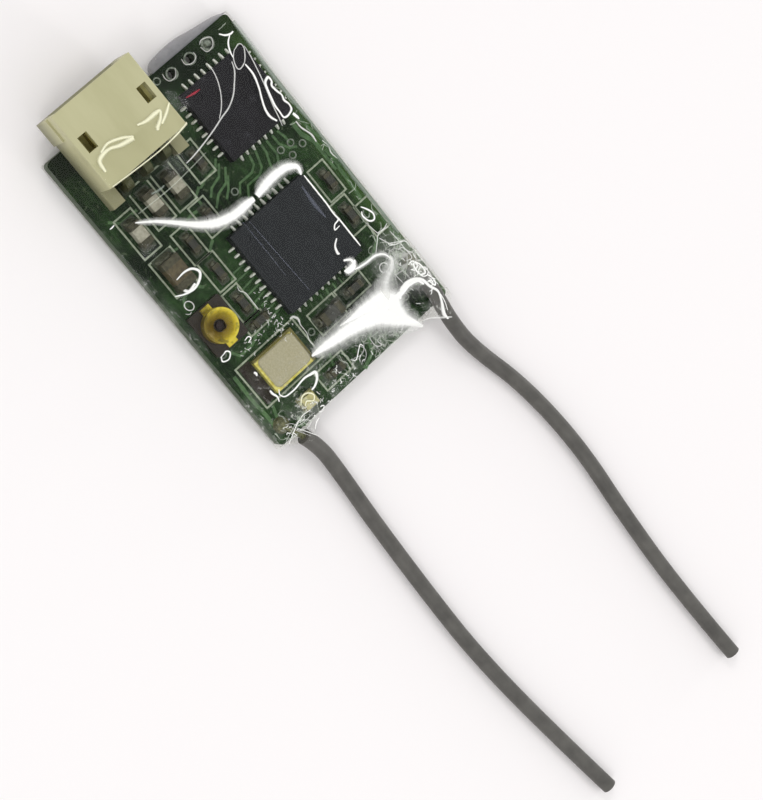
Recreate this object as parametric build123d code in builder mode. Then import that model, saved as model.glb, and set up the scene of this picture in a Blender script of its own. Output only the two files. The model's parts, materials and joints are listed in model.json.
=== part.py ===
from build123d import *
from math import cos, pi, radians, sin, tan
import os

# Micro radio control receiver: a small circuit board in a clear shrink sleeve, with a
# three-way lead socket on one short end and two wire antennas leaving the other.
# X runs along the board towards the antennas, Y across it, Z up. The origin is the middle
# of the board's outline with socket and sleeve, on the surface that the sleeve lies on.

# Circuit board (mm)
board_length = 22.0
board_thickness = 1.0
board_corner_radius = 0.3

# Shrink sleeve
sleeve_wall = 0.12
sleeve_side_gap = 0.03  # board edge to sleeve
sleeve_roof_gap = 0.08  # top of a piece to the sleeve over it
sleeve_low_gap = 0.2  # board's top to the sleeve between the pieces
sleeve_slope = 2.5  # run for each mm of fall round a piece that lifts the sleeve
sleeve_wire_slope = 0.8  # the same beside an antenna
sleeve_rim_rise = 0.18  # board's top to where the sleeve's sides turn in
sleeve_rim_slope = 0.3  # run for each mm of rise above that
sleeve_end_run = 1.4  # where the sleeve falls towards its far edge
sleeve_end_height = 0.62
sleeve_web = 1.0  # how far the sleeve reaches past the board where an antenna leaves
sleeve_edge_gap = 0.1  # sleeve past the board between the antennas
# The tent hangs from the socket's roof: at each level, the share of the height above the
# chips, the reach behind the socket, beside it towards the controller and at the near edge,
# and how much of the two corners behind the socket is cut off
tent_levels = [(1.0, 0.0, 0.0, 0.0, 0.2, 0.03), (0.56, 1.25, 1.5, 0.16, 1.8, 1.42),
               (0.18, 3.55, 3.55, 0.53, 3.2, 3.66), (-0.05, 7.6, 4.9, 0.75, 5.0, 6.4),
               (-0.42, 13.5, 6.9, 1.1, 5.4, 8.4)]
sleeve_mouth_setback = 1.75  # how far back the cut edge lies on the socket's roof

# Lead socket, a side entry header with three pins
socket_end_margin = 1.5  # outer contact to the socket's side
socket_depth = 5.25
socket_height = 3.55
socket_overhang = 2.05  # past the board's end
socket_margin = 1.2  # long edge of the board to the socket
socket_floor = 0.6
socket_roof = 0.55
socket_side_wall = 0.6
socket_back_wall = 1.1
socket_lead_in = 0.18
socket_rib_proud = 0.12
socket_rib_depth = 1.6
socket_rib_height = 2.4
socket_window_length = 1.1
socket_window_width = 0.68
socket_window_setback = 1.85  # front edge to window
socket_window_inset = 0.38  # side to window
socket_wing_reach = 1.3
socket_wing_width = 0.85
socket_wing_height = 1.1
socket_edge_round = 0.12

# Socket contacts, square wire bent down into the board
contact_count = 3
contact_pitch = 1.5
contact_size = 0.5
contact_setback = 0.9  # mouth to contact tip
contact_drop_reach = 0.75  # back of the socket to the tail's middle
contact_bend_radius = 0.45  # along the wire's middle
contact_tip_chamfer = 0.12
contact_hole_diameter = 0.8
contact_clearance = 0.01
tail_fillet_height = 0.35
tail_fillet_spread = 0.18
tail_neck_spread = 0.12  # solder past the wire's flats at the top

# Wire holes beside the socket; the outermost one is filled with solder
wire_hole_diameter = 0.55
wire_hole_setback = 0.73
wire_hole_first = 2.1  # long edge of the board to the outermost hole
wire_hole_pitch = 1.46
wire_hole_count = 3
plug_dome = 0.12

# Places on the board are measured from its socket end, and from the long edge beside the
# socket, or if negative from the other long edge

# Leadless chip packages: size, height, terminals on a side, and place
terminal_pitch = 0.5
terminal_width = 0.26
joint_reach = 0.36
joint_height = 0.34
joint_toe = 0.06
pin_one_dimple_diameter = 0.55
pin_one_dimple_depth = 0.04
pin_one_dimple_inset = 0.75
controller_size = 5.0
controller_height = 0.85
controller_terminals = 8
controller_margin = 0.7  # long edge of the board to the controller
controller_gap = 1.6  # lead socket to the controller
controller_from_end = 4.49
radio_size = 6.0
radio_height = 0.9
radio_terminals = 10
radio_place = (13.22, -5.91)

# Crystal in a ceramic tray with a seam-welded lid
crystal_length = 3.2
crystal_width = 2.5
crystal_tray_height = 0.5
crystal_lid_margin = 0.16
crystal_lid_height = 0.14
crystal_lid_radius = 0.35
crystal_place = (18.05, 3.45)

# Test socket: dark base, gilt dished shell with two ears, centre contact
test_base_length = 3.0
test_base_width = 2.5
test_base_height = 0.4
test_base_corner_radius = 0.15
test_shell_radius = 1.1
test_shell_height = 0.7
test_shell_lip = 0.14
test_hole_radius = 0.38
test_funnel_depth = 0.42
test_ear_reach = 1.42
test_ear_width = 0.7
test_ear_thickness = 0.15
test_contact_radius = 0.2
test_contact_height = 0.15
test_place = (13.8, 1.7)

# Chip parts: length, width and height of each standard body
chip_small = (1.0, 0.5, 0.5)
chip_middle = (1.6, 0.8, 0.8)
chip_large = (2.0, 1.25, 1.1)
chip_end_share = 0.24  # plated length at each end, as a share of the body
chip_body_inset = 0.02  # ceramic below the plating
chip_fillet_reach = 0.22
chip_fillet_share = 0.45

# Each chip part: body, place, and whether it lies along the board or across it. The four
# behind the lead socket keep their distance from it
socket_back = socket_depth - socket_overhang
chip_parts = {
    "capacitor_1": (chip_small, (socket_back + 2.41, 7.3), "along"),
    "capacitor_2": (chip_middle, (socket_back + 2.6, 5.2), "along"),
    "capacitor_3": (chip_middle, (socket_back + 2.57, 3.45), "along"),
    "capacitor_4": (chip_middle, (socket_back + 3.38, 1.6), "along"),
    "capacitor_5": (chip_small, (8.6, 5.65), "along"),
    "capacitor_6": (chip_small, (9.13, 3.72), "along"),
    "capacitor_7": (chip_small, (11.4, 3.89), "along"),
    "capacitor_8": (chip_small, (13.8, 3.8), "along"),
    "capacitor_9": (chip_small, (11.74, -1.55), "along"),
    "capacitor_10": (chip_small, (14.2, -1.85), "along"),
    "bulk_capacitor": (chip_large, (9.72, 1.8), "along"),
    "resistor_1": (chip_small, (15.28, 3.95), "across"),
    "inductor_1": (chip_small, (17.7, -4.6), "across"),
    "inductor_2": (chip_middle, (17.88, -6.87), "across"),
    "inductor_3": (chip_small, (20.75, 5.7), "across"),
}

# Status lamp
lamp_length = 1.0
lamp_width = 1.2
lamp_base_height = 0.3
lamp_lens_height = 0.35
lamp_lens_margin = 0.08
lamp_lens_taper = 8
lamp_place = (20.97, 3.05)

# Antennas: insulated wire, stripped at the board
wire_diameter = 1.0
core_diameter = 0.4
core_stub = 0.35  # straight bare wire before it dips to the pad
core_bend_radius = 0.3
solder_dome_radius = 0.55
solder_flank_height = 0.32
solder_flank_taper = 22
solder_crown_height = 0.18
solder_crown_taper = 45
solder_under_core = 0.03
core_end_setback = 0.12  # conductor's end to the dome's middle
antenna_1_pad_setback = (3.0, 0.65)  # from the board's far end and its nearer long edge
antenna_2_pad_setback = (0.9, 0.9)

# What stands side by side at the socket end sets the board's width
socket_width = contact_pitch * (contact_count - 1) + 2 * socket_end_margin
board_width = socket_margin + socket_width + controller_gap + controller_size + controller_margin
right_edge = -board_width / 2
left_edge = board_width / 2
socket_across = right_edge + socket_margin + socket_width / 2
controller_place = (controller_from_end, -controller_margin - controller_size / 2)

# Levels
board_bottom = sleeve_wall
board_top = board_bottom + board_thickness
socket_top = board_top + socket_height
contact_level = board_top + (socket_floor + socket_height - socket_roof) / 2
chips_top = board_top + max(controller_height, radio_height, wire_diameter,
                            test_base_height + test_shell_height, chip_large[2])
wire_radius = wire_diameter / 2
wire_on_board = board_top + wire_radius

# Places along X: the outline from the socket's mouth to the sleeve's far edge is centred
outline_length = socket_overhang + board_length + sleeve_web
socket_front = -outline_length / 2
socket_rear = socket_front + socket_depth
board_start = socket_front + socket_overhang
board_end = board_start + board_length
sleeve_end = board_end + sleeve_web
tail_x = socket_rear + contact_drop_reach
sleeve_half_width = board_width / 2 + sleeve_side_gap + sleeve_wall


def spot(place):
    """X and Y of a place on the board."""
    from_end, from_edge = place
    return (board_start + from_end, from_edge + (right_edge if from_edge > 0 else left_edge))


def on_board(place, height=0.0, turned=False):
    """Plane on the board's top face at a place."""
    along = (0, 1, 0) if turned else (1, 0, 0)
    return Plane((*spot(place), board_top + height), x_dir=along)


def standing_plane(x, y, heading, level=board_top):
    """Upright plane through a point, its X along the heading in degrees and its Y up."""
    c, s = cos(radians(heading)), sin(radians(heading))
    return Plane((x, y, level), x_dir=(c, s, 0), z_dir=(s, -c, 0))


def tail_places():
    first = socket_across - contact_pitch * (contact_count - 1) / 2
    return [(tail_x, first + i * contact_pitch) for i in range(contact_count)]


def wire_hole_places():
    x = board_start + wire_hole_setback
    first = left_edge - wire_hole_first
    return [(x, first - i * wire_hole_pitch) for i in range(wire_hole_count)]


os.makedirs("parts", exist_ok=True)


def keep(part, name):
    part.label = name
    export_step(part, "parts/" + name + ".step")


# Circuit board with its drilled holes
with BuildPart() as circuit_board:
    with BuildSketch(Plane.XY.offset(board_bottom)):
        with Locations(((board_start + board_end) / 2, 0)):
            RectangleRounded(board_length, board_width, board_corner_radius)
        with Locations(*tail_places()):
            Circle(contact_hole_diameter / 2, mode=Mode.SUBTRACT)
        with Locations(*wire_hole_places()):
            Circle(wire_hole_diameter / 2, mode=Mode.SUBTRACT)
    extrude(amount=board_thickness)
keep(circuit_board.part, "circuit_board")


# Shrink sleeve: low over the small parts, lifted by each taller piece, and hung like a tent
# from the socket's roof
low_roof = board_top + sleeve_low_gap
chip_roof = chips_top + sleeve_roof_gap
tent_roof = socket_top + sleeve_roof_gap
rim_level = board_top + sleeve_rim_rise
lift_foot = board_top - board_thickness / 2
side = board_width / 2 + sleeve_side_gap

# Pieces that lift the sleeve: middle, length, width, height above the board, slope of the film
lifts = [
    (spot(controller_place), controller_size, controller_size, controller_height, sleeve_slope),
    (spot(radio_place), radio_size, radio_size, radio_height, sleeve_slope),
    (spot(crystal_place), crystal_width, crystal_length, crystal_tray_height + crystal_lid_height,
     sleeve_slope),
    (spot(test_place), test_base_length, test_base_width, test_base_height, sleeve_slope),
    (spot(test_place), 2 * test_shell_radius, 2 * test_shell_radius, test_base_height + test_shell_height,
     sleeve_slope),
    (spot(lamp_place), lamp_length, lamp_width, lamp_base_height + lamp_lens_height, sleeve_slope),
    ((board_end - 0.9, left_edge - 0.95), 5.6, 1.5, wire_diameter, sleeve_wire_slope),
    ((board_end + 0.1, right_edge + 1.4), 3.2, 2.0, 0.8, sleeve_wire_slope),
]
for (length, width, height), place, lie in chip_parts.values():
    along, across = (width, length) if lie == "across" else (length, width)
    lifts.append((spot(place), along, across, height, sleeve_slope))


def tent_outline(level, grow):
    """Corners of the tent at one of its levels, and its height there."""
    share, behind, beside, near, corner, near_corner = level
    x = socket_rear + sleeve_side_gap + behind + grow
    left = socket_across + socket_width / 2 + sleeve_side_gap + beside + grow
    right = socket_across - socket_width / 2 - sleeve_side_gap - near - grow
    outline = [(socket_front, right), (x - near_corner, right), (x, right + near_corner),
               (x, left - corner), (x - corner, left), (socket_front, left)]
    return outline, chip_roof + share * (tent_roof - chip_roof) + grow


skins = []
for inset in (0, sleeve_wall):
    grow = sleeve_wall - inset
    with BuildPart() as skin:
        with BuildSketch(Plane.XZ):
            with BuildLine():
                Polyline((socket_front, inset), (sleeve_end, inset), (sleeve_end, sleeve_end_height + grow),
                         (sleeve_end - sleeve_end_run, low_roof + grow), (socket_front, low_roof + grow),
                         close=True)
            make_face()
        extrude(amount=board_width, both=True)
        for middle, length, width, height, slope in lifts:
            top = board_top + height + sleeve_roof_gap + grow
            edge = 2 * (sleeve_side_gap + grow)
            flare = slope * (top - lift_foot)
            with Locations((*middle, lift_foot)):
                Wedge(length + edge + 2 * flare, top - lift_foot, width + edge + 2 * flare,
                      flare, flare, length + edge + flare, width + edge + flare,
                      rotation=(90, 0, 0), align=(Align.CENTER, Align.MIN, Align.CENTER))
        for upper, lower in zip(tent_levels, tent_levels[1:]):
            for outline, level in (tent_outline(lower, grow), tent_outline(upper, grow)):
                with BuildSketch(Plane.XY.offset(level)):
                    with BuildLine():
                        Polyline(*outline, close=True)
                    make_face()
            loft(ruled=True)
        # The sides stand at the board's long edges and lean in above it
        lean = sleeve_rim_slope * (tent_roof + grow - rim_level)
        with BuildSketch(Plane.YZ.offset(socket_front)):
            with BuildLine():
                Polyline((-side - grow, inset), (side + grow, inset), (side + grow, rim_level),
                         (side + grow - lean, tent_roof + grow), (lean - side - grow, tent_roof + grow),
                         (-side - grow, rim_level), close=True)
            make_face()
        extrude(amount=sleeve_end - socket_front, mode=Mode.INTERSECT)
    skins.append(skin.part)

with BuildPart() as shrink_sleeve:
    add(skins[0])
    add(skins[1], mode=Mode.SUBTRACT)
    # The cut edge leans back from the board's end to the socket's roof
    with BuildSketch(Plane.XZ):
        with BuildLine():
            Polyline((socket_front - 1, -1), (board_start - sleeve_edge_gap, -1),
                     (board_start - sleeve_edge_gap, board_bottom),
                     (board_start + sleeve_mouth_setback, tent_roof + sleeve_wall),
                     (board_start + sleeve_mouth_setback, tent_roof + 1),
                     (socket_front - 1, tent_roof + 1), close=True)
        make_face()
    extrude(amount=board_width, both=True, mode=Mode.SUBTRACT)
    # Between the antennas the far edge is drawn in, in one wide hollow
    with BuildSketch(Plane.XY):
        hollow = sleeve_web - sleeve_edge_gap
        half_span = board_width / 2 - 2 * wire_diameter
        with BuildLine():
            ThreePointArc((sleeve_end, -half_span), (sleeve_end - hollow, 0), (sleeve_end, half_span))
            Line((sleeve_end, half_span), (sleeve_end, -half_span))
        make_face()
    extrude(amount=socket_top * 2, both=True, mode=Mode.SUBTRACT)
keep(shrink_sleeve.part, "shrink_sleeve")


# Lead socket: moulded housing with an open mouth, roof windows and two rear wings
mouth_height = socket_height - socket_floor - socket_roof
mouth_width = socket_width - 2 * socket_side_wall
cavity_depth = socket_depth - socket_back_wall
with BuildPart() as lead_socket:
    with BuildSketch(Plane.XY.offset(board_top)):
        with Locations(((socket_front + socket_rear) / 2, socket_across)):
            Rectangle(socket_depth, socket_width)
    extrude(amount=socket_height)
    fillet(lead_socket.edges().filter_by(Axis.X).group_by(Axis.Z)[-1], socket_edge_round)
    # Ribs that thicken the sides at the mouth
    with BuildSketch(Plane.YZ.offset(socket_front)):
        with Locations((socket_across, board_top + socket_rib_height / 2)):
            Rectangle(socket_width + 2 * socket_rib_proud, socket_rib_height)
    extrude(amount=socket_rib_depth)
    # Wings beside the bent contacts
    wing_across = (socket_width - socket_wing_width) / 2
    with BuildSketch(Plane.XY.offset(board_top)):
        with Locations((socket_rear, socket_across - wing_across),
                       (socket_rear, socket_across + wing_across)):
            Rectangle(socket_wing_reach, socket_wing_width, align=(Align.MIN, Align.CENTER))
    extrude(amount=socket_wing_height)
    # Cavity with a lead-in round the mouth
    with BuildSketch(Plane.YZ.offset(socket_front)):
        with Locations((socket_across, board_top + socket_floor + mouth_height / 2)):
            Rectangle(mouth_width, mouth_height)
    extrude(amount=cavity_depth, mode=Mode.SUBTRACT)
    mouth_edges = (lead_socket.faces().filter_by(Plane.YZ).sort_by(Axis.X)[0]
                   .inner_wires()[0].edges())
    chamfer(mouth_edges, socket_lead_in)
    # Windows through the roof
    window_across = socket_width / 2 - socket_window_inset - socket_window_width / 2
    window_x = socket_front + socket_window_setback + socket_window_length / 2
    with BuildSketch(Plane.XY.offset(socket_top)):
        with Locations((window_x, socket_across - window_across),
                       (window_x, socket_across + window_across)):
            Rectangle(socket_window_length, socket_window_width)
    extrude(amount=-socket_roof - socket_lead_in, mode=Mode.SUBTRACT)
    # Square passages for the contacts
    with BuildSketch(Plane.YZ.offset(socket_rear)):
        with Locations(*[(y, contact_level) for x, y in tail_places()]):
            Rectangle(contact_size + 2 * contact_clearance, contact_size + 2 * contact_clearance)
    extrude(amount=-socket_back_wall, mode=Mode.SUBTRACT)
keep(lead_socket.part, "lead_socket")


# Contacts: square wire along the cavity, bent down and cut flush under the board
contacts = []
for i, (x, y) in enumerate(tail_places()):
    with BuildPart() as contact:
        with BuildSketch(Plane.XZ.offset(-y)):
            with BuildLine():
                FilletPolyline((socket_front + contact_setback, contact_level), (x, contact_level),
                               (x, board_bottom), radius=contact_bend_radius)
            trace(line_width=contact_size)
        extrude(amount=contact_size / 2, both=True)
        chamfer(contact.faces().sort_by(Axis.X)[0].edges(), contact_tip_chamfer)
    contacts.append(contact.part)
    keep(contact.part, "socket_contact_" + str(i + 1))


# Solder round the contacts' tails, filling the holes and climbing the wire
with BuildPart() as tail_solder:
    hole_radius = contact_hole_diameter / 2
    foot = hole_radius + tail_fillet_spread
    neck = contact_size / 2 + tail_neck_spread
    for x, y in tail_places():
        with BuildSketch(standing_plane(x, y, 0)):
            with BuildLine():
                Polyline((0, -board_thickness), (hole_radius, -board_thickness), (hole_radius, 0),
                         (foot, 0), (neck, tail_fillet_height), (0, tail_fillet_height), close=True)
            make_face()
        revolve(axis=Axis((x, y, 0), (0, 0, 1)))
    for contact in contacts:
        add(contact, mode=Mode.SUBTRACT)
keep(tail_solder.part, "tail_solder")


# Solder plug in the outermost wire hole, domed above the board
with BuildPart() as wire_hole_solder:
    with BuildSketch(Plane.XY.offset(board_bottom)):
        with Locations(wire_hole_places()[0]):
            Circle(wire_hole_diameter / 2)
    extrude(amount=board_thickness + plug_dome)
    chamfer(wire_hole_solder.faces().sort_by(Axis.Z)[-1].edges(), plug_dome)
keep(wire_hole_solder.part, "wire_hole_solder")


# Leadless packages: a moulded block with a pin one dimple, and a row of small solder
# joints climbing each side
packages = {
    "controller": (controller_size, controller_height, controller_terminals, controller_place),
    "radio": (radio_size, radio_height, radio_terminals, radio_place),
}
for name, (size, height, terminals, place) in packages.items():
    with BuildPart() as package:
        with BuildSketch(on_board(place)):
            Rectangle(size, size)
        extrude(amount=height)
        with BuildSketch(on_board(place, height)):
            with Locations((pin_one_dimple_inset - size / 2, pin_one_dimple_inset - size / 2)):
                Circle(pin_one_dimple_diameter / 2)
        extrude(amount=-pin_one_dimple_depth, mode=Mode.SUBTRACT)
    keep(package.part, name + "_chip")

    row = [(i - (terminals - 1) / 2) * terminal_pitch for i in range(terminals)]
    with BuildPart() as joints:
        for quarter in range(4):
            wall = standing_plane(*spot(place), 90 * quarter)
            with BuildSketch(*[wall.offset(step + terminal_width / 2) for step in row]):
                with BuildLine():
                    Polyline((size / 2, 0), (size / 2 + joint_reach, 0),
                             (size / 2 + joint_reach, joint_toe), (size / 2, joint_height), close=True)
                make_face()
            extrude(amount=-terminal_width)
    keep(joints.part, name + "_solder_joints")


# Crystal: ceramic tray and metal lid
with BuildPart() as crystal_tray:
    with BuildSketch(on_board(crystal_place)):
        Rectangle(crystal_width, crystal_length)
    extrude(amount=crystal_tray_height)
keep(crystal_tray.part, "crystal_tray")

with BuildPart() as crystal_lid:
    with BuildSketch(on_board(crystal_place, crystal_tray_height)):
        RectangleRounded(crystal_width - 2 * crystal_lid_margin,
                         crystal_length - 2 * crystal_lid_margin, crystal_lid_radius)
    extrude(amount=crystal_lid_height)
    chamfer(crystal_lid.faces().sort_by(Axis.Z)[-1].edges(), crystal_lid_height / 2)
keep(crystal_lid.part, "crystal_lid")


# Test socket
with BuildPart() as test_socket_base:
    with BuildSketch(on_board(test_place)):
        RectangleRounded(test_base_length, test_base_width, test_base_corner_radius)
    extrude(amount=test_base_height)
keep(test_socket_base.part, "test_socket_base")

with BuildPart() as test_socket_contact:
    with BuildSketch(on_board(test_place, test_base_height)):
        Circle(test_contact_radius)
    extrude(amount=test_contact_height)
keep(test_socket_contact.part, "test_socket_contact")

with BuildPart() as test_socket_shell:
    middle = on_board(test_place, test_base_height)
    with BuildSketch(middle):
        Rectangle(2 * test_ear_reach, test_ear_width)
        Circle(test_shell_radius)
    extrude(amount=test_ear_thickness)
    with BuildSketch(on_board(test_place, test_base_height)):
        Circle(test_shell_radius)
    extrude(amount=test_shell_height)
    # Dished mouth narrowing to the contact's hole
    with BuildSketch(on_board(test_place, test_base_height + test_shell_height)):
        Circle(test_shell_radius - test_shell_lip)
    with BuildSketch(on_board(test_place, test_base_height + test_shell_height - test_funnel_depth)):
        Circle(test_hole_radius)
    loft(mode=Mode.SUBTRACT)
    with BuildSketch(middle):
        Circle(test_hole_radius)
    extrude(amount=test_shell_height, mode=Mode.SUBTRACT)
keep(test_socket_shell.part, "test_socket_shell")


# Chip parts: the ceramic body, its plated ends, and the solder at each end
for name, ((length, width, height), place, lie) in chip_parts.items():
    base = on_board(place, turned=lie == "across")
    end_length = length * chip_end_share
    with BuildPart() as body:
        with BuildSketch(base.offset(chip_body_inset)):
            Rectangle(length - 2 * end_length, width - 2 * chip_body_inset)
        extrude(amount=height - 2 * chip_body_inset)
    keep(body.part, name)

    with BuildPart() as ends:
        with BuildSketch(base):
            with Locations(((end_length - length) / 2, 0), ((length - end_length) / 2, 0)):
                Rectangle(end_length, width)
        extrude(amount=height)
    keep(ends.part, name + "_ends")


with BuildPart() as chip_solder:
    for (length, width, height), place, lie in chip_parts.values():
        heading = 90 if lie == "across" else 0
        wall = standing_plane(*spot(place), heading)
        for side in (1, -1):
            foot = side * length / 2
            with BuildSketch(wall.offset(width / 2)):
                with BuildLine():
                    Polyline((foot, 0), (foot + side * chip_fillet_reach, 0),
                             (foot, height * chip_fillet_share), close=True)
                make_face()
            extrude(amount=-width)
keep(chip_solder.part, "chip_solder_joints")


# Status lamp: base with a clear lens
with BuildPart() as lamp_base:
    with BuildSketch(on_board(lamp_place)):
        Rectangle(lamp_length, lamp_width)
    extrude(amount=lamp_base_height)
keep(lamp_base.part, "lamp_base")

with BuildPart() as lamp_lens:
    with BuildSketch(on_board(lamp_place, lamp_base_height)):
        Rectangle(lamp_length - 2 * lamp_lens_margin, lamp_width - 2 * lamp_lens_margin)
    extrude(amount=lamp_lens_height, taper=lamp_lens_taper)
keep(lamp_lens.part, "lamp_lens")


# Antennas: each jacket is a tube along straight runs joined by tangent arcs, from where
# the wire is stripped, down to the surface that the receiver lies on
antenna_routes = {
    "antenna_1": [
        (board_end - 2.0, left_edge - 0.75, wire_on_board),
        (board_end - 0.8, left_edge - 0.83, wire_on_board),
        (board_end + 1.5, left_edge - 1.20, wire_on_board),
        (board_end + 3.9, left_edge - 0.75, wire_radius),
        (board_end + 8.0, left_edge + 0.35, wire_radius),
        (board_end + 13.5, left_edge + 0.75, wire_radius),
        (board_end + 19.2, left_edge + 0.23, wire_radius),
        (board_end + 25.4, left_edge - 0.05, wire_radius),
        (board_end + 31.4, left_edge + 0.15, wire_radius),
    ],
    "antenna_2": [
        (board_end + 0.4, right_edge + 1.39, board_top + 0.3),
        (board_end + 1.6, right_edge + 1.87, board_top - 0.1),
        (board_end + 3.8, right_edge + 1.92, wire_radius),
        (board_end + 7.6, right_edge + 1.59, wire_radius),
        (board_end + 13.4, right_edge + 1.30, wire_radius),
        (board_end + 18.5, right_edge + 1.17, wire_radius),
        (board_end + 25.2, right_edge + 1.63, wire_radius),
        (board_end + 31.6, right_edge + 2.35, wire_radius),
    ],
}


antenna_pads = {
    "antenna_1": (board_end - antenna_1_pad_setback[0], left_edge - antenna_1_pad_setback[1]),
    "antenna_2": (board_end - antenna_2_pad_setback[0], right_edge + antenna_2_pad_setback[1]),
}


def arc_radii(route):
    """The largest tangent arcs that the straight runs leave room for."""
    points = [Vector(*p) for p in route]
    radii = []
    for before, here, after in zip(points, points[1:], points[2:]):
        turn = radians((here - before).get_angle(after - here))
        shorter = min((here - before).length, (after - here).length)
        radii.append(0.45 * shorter / tan(turn / 2))
    return radii


for name, route in antenna_routes.items():
    radii = arc_radii(route)
    start = Vector(*route[0])
    heading = (Vector(*route[1]) - start).normalized()
    with BuildPart() as jacket:
        with BuildLine() as path:
            FilletPolyline(*route, radius=radii)
        with BuildSketch(Plane(start, z_dir=heading)):
            Circle(wire_radius)
        sweep()
    keep(jacket.part, name)
    section = jacket.part.volume / (pi * wire_radius ** 2)
    print(name, "radii", [round(r, 1) for r in radii])
    print(name, "length", round(sum(e.length for e in path.edges()), 2), "from volume", round(section, 2))

    # Bare conductor dipping to its pad, and the solder dome that its end lies in
    pad = Vector(*antenna_pads[name], board_top + core_diameter / 2 + solder_under_core)
    with BuildPart() as core:
        with BuildLine():
            FilletPolyline(start, start - heading * core_stub, pad, radius=core_bend_radius)
        with BuildSketch(Plane(start, z_dir=-heading)):
            Circle(core_diameter / 2)
        sweep()
    keep(core.part, name + "_core")

    # The conductor stops short of the dome's middle
    dome_x = pad.X - heading.X * core_end_setback
    dome_y = pad.Y - heading.Y * core_end_setback
    with BuildPart() as dome:
        with BuildSketch(Plane.XY.offset(board_top)):
            with Locations((dome_x, dome_y)):
                Circle(solder_dome_radius)
        extrude(amount=solder_flank_height, taper=solder_flank_taper)
        extrude(dome.faces().sort_by(Axis.Z)[-1], amount=solder_crown_height, taper=solder_crown_taper)
        add(core.part, mode=Mode.SUBTRACT)
    keep(dome.part, name + "_solder")
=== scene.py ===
import json
import bpy
import numpy as np
from mathutils import Matrix, Vector

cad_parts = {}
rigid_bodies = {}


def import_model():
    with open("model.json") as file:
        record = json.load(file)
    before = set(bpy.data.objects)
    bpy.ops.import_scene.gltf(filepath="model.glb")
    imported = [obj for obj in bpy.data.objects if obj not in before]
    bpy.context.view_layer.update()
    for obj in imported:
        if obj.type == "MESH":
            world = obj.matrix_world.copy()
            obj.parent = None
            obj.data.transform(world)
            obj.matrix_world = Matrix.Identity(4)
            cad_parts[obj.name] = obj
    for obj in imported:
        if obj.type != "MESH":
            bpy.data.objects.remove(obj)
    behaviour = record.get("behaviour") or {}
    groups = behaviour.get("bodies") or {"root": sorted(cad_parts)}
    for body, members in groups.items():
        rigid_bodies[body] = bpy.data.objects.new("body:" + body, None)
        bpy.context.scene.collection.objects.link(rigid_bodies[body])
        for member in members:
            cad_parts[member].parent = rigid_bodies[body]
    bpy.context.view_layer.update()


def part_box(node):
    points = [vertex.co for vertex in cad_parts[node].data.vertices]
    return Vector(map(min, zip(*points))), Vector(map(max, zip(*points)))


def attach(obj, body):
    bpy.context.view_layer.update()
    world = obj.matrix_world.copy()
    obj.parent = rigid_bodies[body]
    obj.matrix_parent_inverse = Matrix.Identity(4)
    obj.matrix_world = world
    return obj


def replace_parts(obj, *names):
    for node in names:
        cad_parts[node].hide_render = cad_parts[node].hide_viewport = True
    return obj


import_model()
mm = 0.001


# camera and antennas
viewpoint = {
    "place": (-0.018425, -0.03601, 0.125),
    "right": (0.6139, 0.7023, 0.3604),
    "up": (-0.7514, 0.6598, -0.0056),
    "lens": 101.44,
}


def makeCamera(settings):
    # the camera's own axes, squared up: right, up, and backwards as their cross product
    right = Vector(settings["right"]).normalized()
    up = Vector(settings["up"])
    up = (up - right * up.dot(right)).normalized()
    turn = Matrix((right, up, right.cross(up))).transposed()
    data = bpy.data.cameras.new("camera")
    data.sensor_fit = "HORIZONTAL"
    data.sensor_width = 36
    data.lens = settings["lens"]
    data.clip_start = 0.01
    camera = bpy.data.objects.new("camera", data)
    camera.matrix_world = Matrix.Translation(settings["place"]) @ turn.to_4x4()
    bpy.context.collection.objects.link(camera)
    bpy.context.scene.camera = camera


makeCamera(viewpoint)

antennas = {
    "diameter": 0.001,
    "antenna_1": [(9.525, 6.5, 1.62), (10.725, 6.42, 1.62), (13.025, 6.05, 1.62), (15.425, 6.5, 0.5),
                  (19.525, 7.6, 0.5), (25.025, 8.0, 0.5), (30.725, 7.48, 0.5), (36.925, 7.2, 0.5),
                  (42.925, 7.4, 0.5)],
    "antenna_2": [(11.925, -5.86, 1.42), (13.125, -5.38, 1.02), (15.325, -5.33, 0.5),
                  (19.125, -5.66, 0.5), (24.925, -5.95, 0.5), (30.025, -6.08, 0.5),
                  (36.725, -5.62, 0.5), (43.125, -4.9, 0.5)],
    "lengths": {"antenna_1": 0.0337, "antenna_2": 0.0314},
}


def makeAntenna(node, settings):
    # an insulated wire as one smooth spline through the room that its route leaves
    curve = bpy.data.curves.new(node + "Wire", "CURVE")
    curve.dimensions = "3D"
    curve.bevel_depth = 1  # each point's radius is the wire's own
    curve.bevel_resolution = 7
    curve.resolution_u = 24
    curve.use_fill_caps = True
    spline = curve.splines.new("NURBS")
    route = settings[node]
    spline.points.add(len(route) - 1)
    for point, (x, y, z) in zip(spline.points, route):
        point.co = (x * mm, y * mm, z * mm, 1)
        point.radius = settings["diameter"] / 2
    spline.order_u = 3
    spline.use_endpoint_u = True
    wire = bpy.data.objects.new(node + "Wire", curve)
    bpy.context.collection.objects.link(wire)
    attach(wire, "root")
    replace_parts(wire, node)
    return wire


wires = [makeAntenna(node, antennas) for node in ("antenna_1", "antenna_2")]
print("camera and antennas made")


# shader helper
class Field:
    # a value that varies over a surface; arithmetic on it adds Math nodes
    def __init__(self, finish, socket):
        self.finish, self.socket = finish, socket

    def __rsub__(self, other):
        return self.finish.maths("SUBTRACT", other, self)


for sign, operation in {"add": "ADD", "radd": "ADD", "sub": "SUBTRACT", "mul": "MULTIPLY", "truediv": "DIVIDE",
                        "pow": "POWER", "abs": "ABSOLUTE", "gt": "GREATER_THAN", "lt": "LESS_THAN"}.items():
    setattr(Field, "__" + sign + "__",
            lambda self, other=None, operation=operation: self.finish.maths(operation, self, other))


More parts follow.
